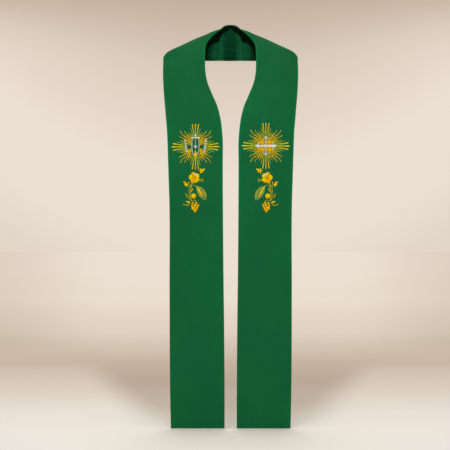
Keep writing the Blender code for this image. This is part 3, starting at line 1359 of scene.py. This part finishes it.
@dataclass
class Burst:
    """A burst of rays: three straight ones to each of the four sides, swaying ones between, and fine ones."""

    heart: tuple[Ray, ...]
    arm_start: float = 37.0
    level_arm: Pair = (72.0, 4.2)  # where the middle ray of three ends, and its width
    upright_arm: Pair = (69.4, 3.4)
    ray_height: float = 0.7
    beside: tuple[Pair, ...] = ((6.4, 41.0), (7.6, 54.0), (10.0, 68.0))
    beside_share: float = 0.88  # its width, as a share of the middle ray's
    line_share: float = 0.6  # the width of the amber line that lies on an upright ray
    line_aside: float = 0.8  # how far nearer the middle it lies on a side ray
    line_heights: Pair = (0.95, 0.8)  # on the middle ray and on a side ray
    swaying_height: float = 0.6
    bright_points: int = 16  # how many of a swaying ray's points the brighter thread covers
    bright_share: float = 1.1
    bright_height: float = 0.9
    gold_rays: tuple[int, ...] = (1, 3)  # the swaying rays whose inner part is gold
    fine_height: float = 0.45
    heart_height: float = 0.4

    def _arms(self) -> Iterator[Form]:
        """The straight rays, the upright ones with an amber line.

        Yields:
            The forms.
        """
        for quarters in range(4):
            level = quarters % 2 == 1
            end, width = self.level_arm if level else self.upright_arm
            arm = turned([(0.0, self.arm_start), (0.0, end)], quarters)
            rays, lines = [(arm, width)], [(arm, self.line_heights[0])]
            for sign in (-1, 1):
                ray = turned([(sign * x, z) for x, z in self.beside], quarters)
                rays.append((ray, width * self.beside_share))
                line = turned([(sign * (x - self.line_aside), z) for x, z in self.beside], quarters)
                lines.append((line, self.line_heights[1]))
            for path, ray_width in rays:
                yield Form(Thread.GOLD, path, ray_width, self.ray_height, Outline.FLARED)
            for path, height in [] if level else lines:
                yield Form(Thread.AMBER, path, width * self.line_share, height, Outline.FLARED)

    def forms(self) -> Iterator[Form]:
        """The rays.

        Yields:
            The forms.
        """
        yield from self._arms()
        for mirror in QUARTERS:
            for number, ray in enumerate(DIAGONAL_RAYS):
                path = swaying(ray, mirror)
                yield Form(Thread.OLD_GOLD, path, ray.width, self.swaying_height, Outline.FLARED, rings=18)
                inner, width = path[: self.bright_points], ray.width * self.bright_share
                bright = Thread.GOLD if number in self.gold_rays else Thread.AMBER
                yield Form(bright, inner, width, self.bright_height, Outline.FLARED)
            fine = [(ray, Thread.OLD_GOLD, self.fine_height) for ray in FINE_RAYS]
            fine += [(ray, Thread.LIME, self.fine_height) for ray in FANNED_RAYS]
            for number, ray in enumerate(self.heart):
                fine.append((ray, Thread.GOLD if number % 3 == 1 else Thread.AMBER, self.heart_height))
            for ray, thread, height in fine:
                yield Form(thread, swaying(ray, mirror), ray.width, height, rings=8)


class CrossArm(NamedTuple):
    """An arm of the cross: its reach, its width, a petal beside its tip, its thread and its height."""

    reach: float
    width: float
    petal: tuple[Pair, ...]
    thread: Thread
    height: float


@dataclass
class FloweredCross:
    """A silver cross whose arms end in three petals, with a gold disc in each corner."""

    level_arm: CrossArm = CrossArm(33.0, 7.4, ((0.0, 22.8), (5.5, 22.4), (11.0, 21.0)), Thread.SILVER, 1.3)
    upright_arm: CrossArm = CrossArm(31.2, 4.8, ((0.0, 25.6), (5.4, 23.0), (10.4, 19.8)), Thread.PEWTER, 1.1)
    arm_short: float = 6.0  # how far short of its reach the arm itself stops
    tip_length: float = 13.0
    tip_share: float = 1.3
    petal_width: float = 5.0
    shade_edging: float = 1.2
    shade_edging_height: float = 0.5
    disc: float = 11.7
    disc_place: Pair = (11.8, 11.0)
    disc_middle: Pair = (0.5, 0.42)  # the shares of the disc that its brighter middle takes
    heart: tuple[tuple[Thread, float, float], ...] = ((Thread.PEWTER, 8.0, 1.5), (Thread.AMBER, 15.0, 0.7))

    def forms(self) -> Iterator[Form]:
        """The cross, the dark thread round it as painted shade, and its discs.

        Yields:
            The forms.
        """
        bright = (self.disc * self.disc_middle[0], self.disc * self.disc_middle[1])
        for x, z in QUARTERS:
            place = (x * self.disc_place[0], z * self.disc_place[1])
            yield oval(Thread.AMBER, place, (self.disc, self.disc), 45.0, 0.9, Grain.SLANTED)
            yield oval(Thread.GOLD, place, bright, 45.0, 1.3)
        for quarters in range(4):
            side = self.level_arm if quarters % 2 == 1 else self.upright_arm
            arm = turned([(0.0, 0.0), (0.0, side.reach - self.arm_short)], quarters)
            tip = turned([(0.0, side.reach - self.tip_length), (0.0, side.reach)], quarters)
            petals = [turned([(sign * x, z) for x, z in side.petal], quarters) for sign in (-1, 1)]
            # The dark thread goes first, wider and lower, as painted shade round each silver form.
            layers = ((Thread.UMBER, 2 * self.shade_edging, self.shade_edging_height), (side.thread, 0.0, side.height))
            for thread, wider, height in layers:
                yield Form(thread, arm, side.width + wider, height)
                yield Form(thread, tip, side.width * self.tip_share + wider, height, Outline.LEAF, rings=8)
                for petal in petals:
                    yield Form(thread, petal, self.petal_width + wider, height, Outline.POINTED, rings=10)
        for thread, across, height in self.heart:
            yield oval(thread, (0.0, 0.0), (across, across), 45.0, height)


# The bar across the lamp frame's top, the small cross on it, the bowl, and the drop with its deeper middle.
LAMP_PARTS = (
    Form(Thread.SILVER, ((-12.8, 27.5), (12.8, 27.5)), 3.6, 1.3),
    Form(Thread.PEWTER, ((0.0, 28.5), (0.0, 39.0)), 2.8, 1.1, rings=8),
    Form(Thread.SILVER, ((-3.8, 34.5), (3.8, 34.5)), 2.6, 1.2, rings=8),
    oval(Thread.PEWTER, (0.0, 1.2), (12.5, 5.0), 0.0, 1.4),
    oval(Thread.PEWTER, (0.0, -3.4), (6.4, 4.4), 0.0, 1.2),
    Form(Thread.GOLD, ((0.0, -9.8), (0.0, -24.0), (0.0, -38.0)), 7.6, 1.8, Outline.LEAF, Grain.ALONG),
    Form(Thread.AMBER, ((1.2, -9.8), (1.2, -24.0), (1.2, -38.0)), 3.0, 2.1, Outline.LEAF, Grain.ALONG),
)


@dataclass
class AltarLamp:
    """A silver lamp on a chain of beads with a gold drop, in an arched frame between two ears of corn."""

    # The frame's right half, from its head down, and its foot.
    frame: tuple[Pair, ...] = ((9.8, 27.5), (10.6, 9.625), (10.2, -9.1), (7.056, -20.28))
    foot: float = -26.0
    frame_points: int = 41
    frame_lines: tuple[Pair, Pair] = ((4.9, 0.5), (2.9, 1.1))  # the dark one is painted shade under the pewter one
    frame_rings: int = 32
    beads: int = 5
    first_bead: float = 22.5
    bead_pitch: float = 4.2
    bead_size: Pair = (3.8, 3.2)
    stem: tuple[Pair, ...] = ((23.0, -26.0), (27.5, -10.0), (29.0, 6.0), (30.5, 17.0))
    stem_lines: tuple[Pair, Pair] = ((4.4, 0.4), (2.0, 0.8))
    stem_rings: int = 12
    grain_points: tuple[int, ...] = (6, 10, 14, 18, 22)  # the points of the stem that a pair of grains leaves
    grain_size: Pair = (6.8, 3.0)
    grain_turn: float = 38.0
    last_grain: Pair = (2.4, 6.5)
    last_width: float = 3.6

    def _lined(self, path: np.ndarray, dark: Pair, pewter: Pair, rings: int) -> Iterator[Form]:
        """A pewter line on a wider dark one, which is painted shade round it. Each has a width and a height.
        """
        yield Form(Thread.UMBER, path, *dark, rings=rings)
        yield Form(Thread.PEWTER, path, *pewter, rings=rings)

    def _ear(self, sign: float) -> Iterator[Form]:
        """One ear of corn beside the lamp, curving outwards.

        Args:
            sign: The side of the lamp that it stands on.

        Yields:
            The forms.
        """
        stem = smooth_path([(sign * x, z) for x, z in self.stem])
        yield from self._lined(stem, *self.stem_lines, self.stem_rings)
        length, width = self.grain_size
        for point in self.grain_points:
            spot = stem[point]
            ahead = stem[point + 1] - spot
            heading = math.degrees(math.atan2(ahead[1], ahead[0]))
            for turn in (-self.grain_turn, self.grain_turn):
                tip = spot + heading_step(heading + turn, length)
                yield Form(Thread.PEWTER, (spot, (spot + tip) / 2, tip), width, 1.1, Outline.LEAF, rings=8)
        tip = stem[-1] + np.array([sign * self.last_grain[0], self.last_grain[1]])
        yield Form(Thread.SILVER, (stem[-1], tip), self.last_width, 1.1, Outline.LEAF, rings=8)

    def forms(self) -> Iterator[Form]:
        """The lamp, its frame, the ears of corn, and the dark thread under frame and stems as painted shade.

        Yields:
            The forms.
        """
        round_frame = [*((-x, z) for x, z in self.frame), (0.0, self.foot), *self.frame[::-1]]
        path = smooth_path(round_frame, self.frame_points)
        yield from self._lined(path, *self.frame_lines, self.frame_rings)
        for number in range(self.beads):
            place = (0.0, self.first_bead - self.bead_pitch * number)
            yield oval(Thread.PEWTER, place, self.bead_size, 90.0, 1.2)
        yield from LAMP_PARTS
        for sign in (-1, 1):
            yield from self._ear(sign)


class BudPetals(NamedTuple):
    """Pointed petals of a bud, which leave one place in some directions."""

    thread: Thread
    place: Pair
    turns: tuple[float, ...]
    length: float


# The flower spray's forms, right of and above the rose's middle, on the wearer's right side.
OUTER_STEM = ((-7.0, -15.0), (-14.6, -26.0), (-16.6, -42.0), (-14.3, -62.0), (-9.5, -71.0))
INNER_STEM = ((-5.0, -16.0), (-9.8, -27.0), (-12.0, -42.0), (-10.6, -60.0), (-9.0, -70.0))
STEMS = (
    Form(Thread.OLD_GOLD, OUTER_STEM, 1.9, 0.7, rings=16),
    Form(Thread.GOLD, INNER_STEM, 1.7, 0.9, rings=16),
    Form(Thread.MOSS, ((-11.5, -33.0), (-6.0, -25.0), (0.5, -22.5), (8.0, -26.5)), 2.2, 0.7),
    Form(Thread.OLD_GOLD, ((-22.5, -24.0), (-18.0, -20.0), (-15.5, -26.5)), 2.2, 0.7),
    Form(Thread.OLD_GOLD, ((10.0, -8.5), (16.0, -9.5), (21.0, -10.0)), 2.2, 0.7),
    Form(Thread.OLD_GOLD, arc((0.0, -71.5), 4.6, -30.0, 260.0), 2.2, 0.7, rings=16),
    Form(Thread.OLD_GOLD, ((-30.5, -81.0), (-24.0, -83.0), (-17.0, -80.5), (-13.0, -76.0)), 2.2, 0.7),
    oval(Thread.OLD_GOLD, (-31.1, -80.4), (5.4, 5.0), 0.0, 1.1),
    oval(Thread.OLD_GOLD, (-20.0, -82.6), (6.4, 4.6), 20.0, 1.0),
)
# The large leaf's two halves, its bright edge and its midrib, and then the small leaves.
HALF_LEAF = (0.7, Outline.LEAF, Grain.SLANTED, 16)
LEAF_EDGE = ((16.0, -28.0), (27.4, -36.6), (34.6, -48.6), (36.0, -59.0), (34.0, -68.0))
MIDRIB = ((4.6, -22.8), (12.0, -34.5), (20.0, -47.0), (27.5, -60.5))
LEAVES = (
    Form(Thread.MOSS, ((7.0, -25.0), (10.6, -39.0), (18.2, -53.2), (32.0, -68.2)), 9.4, *HALF_LEAF),
    Form(Thread.MOSS, ((8.0, -25.0), (21.8, -34.6), (30.0, -48.4), (34.0, -68.6)), 9.6, *HALF_LEAF),
    Form(Thread.OLD_GOLD, LEAF_EDGE, 2.6, 1.0, Outline.LEAF, rings=16),
    Form(Thread.GOLD, MIDRIB, 6.2, 1.4, Outline.LEAF, Grain.SLANTED),
    Form(Thread.AMBER, ((9.5, -33.5), (17.5, -46.0), (27.0, -62.0)), 3.4, 1.9, Outline.LEAF),
    Form(Thread.AMBER, ((-3.5, -31.0), (-7.0, -38.0), (-11.0, -44.5)), 3.8, 1.0, Outline.LEAF),
    Form(Thread.OLD_GOLD, ((-26.5, -44.5), (-23.0, -54.0), (-15.5, -65.0)), 3.4, 1.0, Outline.LEAF),
    Form(Thread.GOLD, ((-26.0, -70.8), (-19.5, -73.0), (-11.5, -75.6)), 5.4, 1.2, Outline.LEAF),
)
# The rose's low petal, and its heart with the glint on it.
LOW_PETAL = oval(Thread.AMBER, (1.0, -12.0), (17.0, 9.0), 0.0, 1.5, Grain.SLANTED)
ROSE_HEART = (
    oval(Thread.OLD_GOLD, (0.6, -1.6), (7.6, 6.2), 10.0, 2.3, Grain.ALONG),
    oval(Thread.GOLD, (-0.6, -1.0), (3.6, 3.2), 10.0, 2.7),
    Form(Thread.SILVER, ((-4.2, 10.6), (3.4, 9.0), (11.0, 6.0)), 4.6, 2.4, Outline.LEAF, rings=8),
)
BUDS = (
    BudPetals(Thread.GOLD, (21.0, 20.0), (28.0,), 13.0),
    BudPetals(Thread.GOLD, (21.0, 20.0), (108.0, 250.0), 8.8),
    BudPetals(Thread.AMBER, (21.0, 20.0), (170.0, 325.0), 8.4),
    BudPetals(Thread.AMBER, (-22.0, -19.0), (148.0,), 13.4),
    BudPetals(Thread.GOLD, (-22.0, -19.0), (262.0, 205.0), 9.4),
    BudPetals(Thread.AMBER, (-17.6, -20.0), (80.0,), 8.0),
    BudPetals(Thread.LIME, (22.0, -8.8), (62.0,), 7.6),
    BudPetals(Thread.LIME, (22.0, -8.8), (-28.0, 150.0), 7.8),
)
BERRY = (
    oval(Thread.GOLD, (-2.0, -55.0), (15.4, 15.4), 90.0, 1.9, Grain.ALONG),
    Form(Thread.AMBER, arc((-2.0, -55.0), 5.4, 215.0, 325.0), 3.0, 2.1, Outline.LEAF, rings=8),
)


@dataclass
class FlowerSpray:
    """A rose on a bending stem, with buds, leaves, a berry and a bunch of grapes below."""

    petals: int = 5
    petal_ring: float = 10.5
    petal: Pair = (15.0, 14.0)
    first_petal: float = 104.0  # its direction
    shaded_petals: tuple[int, ...] = (0, 2)
    fold: Triple = (5.4, 80.0, 2.3)  # the line in a petal: its radius, its reach to each side and its width
    inner_petals: int = 3
    inner_ring: float = 4.6
    inner_petal: Pair = (11.0, 7.5)
    first_inner: float = 200.0
    bud_share: float = 0.52  # the width of a bud's petal, as a share of its length
    grape: Pair = (8.2, 7.6)
    grape_edge: Triple = (0.4, 150.0, 290.0)  # its radius as a share of the grape's width, and its ends
    bright_grape: int = 4  # each fourth grape is brighter
    grapes: tuple[Pair, ...] = (
        *((5.8, -76.6), (-4.4, -77.4), (11.2, -83.0), (2.8, -82.8), (-6.0, -84.6), (8.4, -89.6)),
        *((0.6, -89.4), (-5.2, -91.4), (5.6, -95.0), (-1.0, -95.6), (2.4, -100.2)),
    )

    def _rose(self) -> Iterator[Form]:
        """The rose: outer petals, a low one, a ring of inner ones and its heart.

        Yields:
            The forms.
        """
        radius, reach, width = self.fold
        for number in range(self.petals):
            turn = self.first_petal + 360.0 / self.petals * number
            middle = heading_step(turn, self.petal_ring)
            pair = (Thread.GOLD, Thread.AMBER)
            outer, inner = pair[::-1] if number in self.shaded_petals else pair
            yield oval(outer, middle, self.petal, turn + 90.0, 1.2, Grain.ALONG)
            yield Form(inner, arc(middle, radius, turn - reach, turn + reach), width, 1.5, rings=8)
        yield LOW_PETAL
        for number in range(self.inner_petals):
            turn = self.first_inner + 360.0 / self.inner_petals * number
            middle = heading_step(turn, self.inner_ring)
            yield oval(Thread.AMBER, middle, self.inner_petal, turn + 90.0, 1.9, Grain.SLANTED)
        yield from ROSE_HEART

    def forms(self) -> Iterator[Form]:
        """The spray.

        Yields:
            The forms.
        """
        yield from STEMS + LEAVES
        yield from self._rose()
        for thread, place, turns, length in BUDS:
            for turn in turns:
                step = heading_step(turn, length)
                path = (place, place + step / 2, place + step)
                yield Form(thread, path, length * self.bud_share, 1.1, Outline.LEAF, Grain.ALONG, rings=8)
        yield from BERRY
        share, start, end = self.grape_edge
        for number, place in enumerate(self.grapes):
            bright = number % self.bright_grape == self.bright_grape - 1
            grape, edge = (Thread.GOLD, Thread.OLD_GOLD) if bright else (Thread.AMBER, Thread.GOLD)
            yield oval(grape, place, self.grape, 60.0, 1.8, Grain.SLANTED)
            yield Form(edge, arc(place, self.grape[1] * share, start, end), 1.2, 1.7, rings=6)


@dataclass
class Embroidery:
    """All the embroidery of one band: its burst with what stands in it, and the spray below."""

    side: Side
    ground: BVHTree
    finishes: dict[Thread, Material]
    burst_middle: Pair = (105.5, -266.6)
    burst_shift: float = 1.3  # how much higher the wearer's left burst was stitched, and the right one lower
    spray_middle: Pair = (109.0, -360.3)

    def build(self) -> list[Piece]:
        """Stitches and lays everything.

        Returns:
            The pieces.
        """
        x, z = self.burst_middle
        devices = {
            Side.LEFT: (Burst(HEART_RAYS), FloweredCross()),
            Side.RIGHT: (Burst(SIDE_HEART_RAYS), AltarLamp()),
        }
        # The spray's places are given as the wearer's right side shows them, so it is laid the other way.
        groups = (
            ("burst", devices[self.side], (x, z + self.burst_shift * self.side.value), 1.0),
            ("spray", (FlowerSpray(),), self.spray_middle, -1.0),
        )
        pieces = []
        for word, ornaments, middle, way in groups:
            work = {thread: Needlework(way) for thread in Thread}
            for ornament in ornaments:
                for form in ornament.forms():
                    work[form.thread].stitch(form)
            for thread, needlework in work.items():
                if needlework.bm.verts:
                    name = f"{word}_{thread.word}_{self.side.word}"
                    finish = self.finishes[thread]
                    pieces.append(needlework.lay(name, self.ground, middle, self.side, finish))
        return pieces


# Studio


@dataclass(frozen=True)
class AreaLamp:
    """A soft white lamp: where it stands, what it looks at, its size and its power."""

    name: str
    place: Triple
    target: Triple
    size: float
    watts: float


@dataclass
class Studio:
    """A plain pale floor in a warm plain room, soft lamps, and the camera. Its lengths are metres."""

    floor_level: float = -1.1145
    floor_radius: float = 30.0
    floor_segments: int = 96
    card_reach: Pair = (0.55, 1.1)  # real card up to here, and painted light from there
    card_tint: Triple = (0.95, 1.0, 1.06)
    haze_reach: Pair = (9.0, 16.0)
    camera_place: Triple = (-0.017, -4.615, -0.5023)
    lens: float = 120.24
    sensor: float = 36.0
    lamps: tuple[AreaLamp, ...] = (
        AreaLamp("key", (-0.4, -3.2, 2.2), (0.0, 0.0, -0.2), 2.4, 62.0),
        AreaLamp("top", (0.0, 1.5, 2.3), (0.0, 0.0, -0.6), 1.2, 22.0),
    )
    # The floor's tone changes with its depth behind the stole.
    floor_colours: tuple[tuple[float, str], ...] = (
        (-0.5, "#E6E0D8"),
        (0.3, "#E4DDD4"),
        (1.2, "#D9CABA"),
        (2.1, "#C9B7A4"),
        (3.9, "#DFD1C1"),
        (7.5, "#EADECF"),
    )
    # The stole's own soft shadow on the floor: where it ends sideways, how much it widens with depth, and
    # where it ends before and behind.
    shadow_edge: Pair = (0.14, 0.34)
    shadow_spread: float = 0.183
    shadow_front: Pair = (-0.6, 0.4)
    shadow_back: Pair = (1.1, 2.4)
    shadow_colour: str = "#DBD5CF"
    haze: str = "#ECE0D4"
    # The far sides of the floor are a little deeper: by how much, between which slants from the middle line,
    # and between which depths.
    side_colour: str = "#F0EEEA"
    side_slants: Pair = (0.075, 0.155)
    side_depths: Pair = (2.2, 3.4)
    # The room's tone changes with the upward share of the direction looked in, less a part of the square of
    # its sideways share. That part fades between two upward shares.
    room_fade: Pair = (0.112, 0.148)
    room_bends: Pair = (2.53, 0.46)
    room_colours: tuple[tuple[float, str], ...] = (
        (-0.06, "#E2D6C8"),
        (-0.02, "#EBDFD2"),
        (0.03, "#ECE0D4"),
        (0.10, "#DCCCBD"),
        (0.15, "#C2B09C"),
        (0.28, "#CDBFAE"),
        (0.60, "#F0E8DE"),
        (1.00, "#FFFAF2"),
    )

    def _shaded(self, add: AddNode, value: Socket, stops: Sequence[tuple[float, str]]) -> Socket:
        """A colour that changes with a value.

        Args:
            add: What adds a node.
            value: The value.
            stops: Values in rising order, each with its hex colour.

        Returns:
            The colour.
        """
        share = add("MapRange", "Result", (value, stops[0][0], stops[-1][0]))
        ramp = add("ValToRGB", inputs=(share,))
        fill_ramp(ramp.color_ramp, stops)
        return ramp.outputs["Color"]

    def _floor_shade(self, add: AddNode, place: Socket) -> Socket:
        """The floor's colour: its tone, the haze far off, its deeper far sides and the stole's soft shadow.

        Args:
            add: What adds a node to the floor's material.
            place: The place on the floor.

        Returns:
            The colour.
        """
        across, depth, _ = add("SeparateXYZ", inputs=(place,)).outputs
        sideways = add("Math", "Value", (across,), operation="ABSOLUTE")
        aside = add("Math", "Value", (depth, -self.shadow_spread, sideways), operation="MULTIPLY_ADD")
        before = add("Math", "Value", (depth, -1.0), **TIMES)
        from_camera = add("Math", "Value", (depth, self.camera_place[1]), operation="SUBTRACT")
        slant = add("Math", "Value", (sideways, from_camera), operation="DIVIDE")
        reach = add("VectorMath", "Value", (place,), operation="LENGTH")
        shade = self._shaded(add, depth, self.floor_colours)
        # Each layer's colour, how it goes on, and what its strength eases between, up from 0 or down from 1.
        up, down = (0.0, 1.0), (1.0, 0.0)
        far_off = ((reach, self.haze_reach, up),)
        far_sides = ((slant, self.side_slants, up), (depth, self.side_depths, up))
        near_sides, in_front = (aside, self.shadow_edge, down), (before, self.shadow_front, down)
        shadow = (near_sides, in_front, (depth, self.shadow_back, down))
        layers = (
            (self.haze, "MIX", far_off),
            (self.side_colour, "MULTIPLY", far_sides),
            (self.shadow_colour, "MULTIPLY", shadow),
        )
        for code, way, terms in layers:
            strength = 1.0
            for value, ends, eased_to in terms:
                eased = add("MapRange", "Result", (value, *ends, *eased_to), **SMOOTH)
                strength = add("Math", "Value", (strength, eased), **TIMES)
            mixed = {MIX_FACTOR: strength, MIX_FIRST: shade, MIX_SECOND: linear(code)}
            shade = add("Mix", MIX_RESULT, mixed, data_type="RGBA", blend_type=way)
        return shade

    def build_floor(self) -> None:
        """Lays the floor: matt card near the stole, passing into a plain painted distance."""
        bm = bmesh.new()
        bmesh.ops.create_circle(bm, cap_ends=True, radius=self.floor_radius, segments=self.floor_segments)
        bmesh.ops.translate(bm, vec=(0.0, 0.0, self.floor_level), verts=bm.verts)
        mesh = bpy.data.meshes.new("floor")
        bm.to_mesh(mesh)
        bm.free()
        floor = bpy.data.objects.new("floor", mesh)
        bpy.context.scene.collection.objects.link(floor)
        material, add = bare_material("matt_backdrop_card")
        level = add("VectorMath", "Vector", (add("TexCoord", "Object"), (1.0, 1.0, 0.0)), **TIMES)
        shade = self._floor_shade(add, level)
        reach = add("VectorMath", "Value", (level,), operation="LENGTH")
        far = add("MapRange", "Result", (reach, *self.card_reach), **SMOOTH)
        tinted = add("VectorMath", "Vector", (shade, self.card_tint), **TIMES)
        card = add("BsdfDiffuse", "BSDF", {"Color": tinted})
        painted = add("Emission", "Emission", {"Color": shade})
        add("OutputMaterial", inputs={"Surface": add("MixShader", "Shader", (far, card, painted))})
        mesh.materials.append(material)

    def build_room(self) -> None:
        """Lights the room, plain and warm."""
        world = bpy.data.worlds.new("room")
        bpy.context.scene.world = world
        world.use_nodes = True
        world.node_tree.nodes.clear()
        add = partial(add_node, world.node_tree)
        sideways, _, upwards = add("SeparateXYZ", inputs=(add("TexCoord", "Generated"),)).outputs
        square = add("Math", "Value", (sideways, sideways), **TIMES)
        full, least = self.room_bends
        bend = add("MapRange", "Result", (upwards, *self.room_fade, -full, -least))
        share = add("Math", "Value", (square, bend, upwards), operation="MULTIPLY_ADD")
        light = {"Color": self._shaded(add, share, self.room_colours), "Strength": 1.0}
        add("OutputWorld", inputs={"Surface": add("Background", "Background", light)})

    def build_lamps(self) -> None:
        """Hangs the soft lamps, each turned to what it looks at."""
        for lamp in self.lamps:
            data = bpy.data.lights.new(lamp.name, "AREA")
            data.shape, data.size, data.energy = "SQUARE", lamp.size, lamp.watts
            made = bpy.data.objects.new(lamp.name, data)
            made.location = lamp.place
            aim = Vector(lamp.target) - Vector(lamp.place)
            made.rotation_euler = aim.to_track_quat("-Z", "Y").to_euler()
            bpy.context.scene.collection.objects.link(made)

    def build_camera(self) -> None:
        """Sets up a long lens, level, straight in front of the stole."""
        data = bpy.data.cameras.new("camera")
        data.lens, data.sensor_width = self.lens, self.sensor
        camera = bpy.data.objects.new("camera", data)
        level = Matrix.Rotation(math.radians(90), 4, "X")
        camera.matrix_world = Matrix.Translation(self.camera_place) @ level
        bpy.context.scene.collection.objects.link(camera)
        bpy.context.scene.camera = camera

    def build(self) -> None:
        """Builds everything that isn't the stole."""
        self.build_floor()
        self.build_room()
        self.build_lamps()
        self.build_camera()
        bpy.context.scene.view_settings.view_transform = "Standard"


def main() -> None:
    """Builds the studio, and then the stole's pieces in order."""
    logging.basicConfig(level=logging.INFO, format="%(name)s: %(message)s")
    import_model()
    Studio().build()
    finishes = (WovenCloth(), SatinLining(), RayonThread("green_sewing_thread", "#2A7A50", "#14502F"))
    materials = [finish.make() for finish in finishes]
    threads = {thread: thread.value.make() for thread in Thread}
    surface = BandSurface()
    for side in Side:
        band = Band(surface, side, *materials)
        cloth, ground = band.build_cloth()
        lining = band.build_lining()
        sewing = band.build_stitches()
        stitched = Embroidery(side, ground, threads).build()


if __name__ == "__main__":
    main()
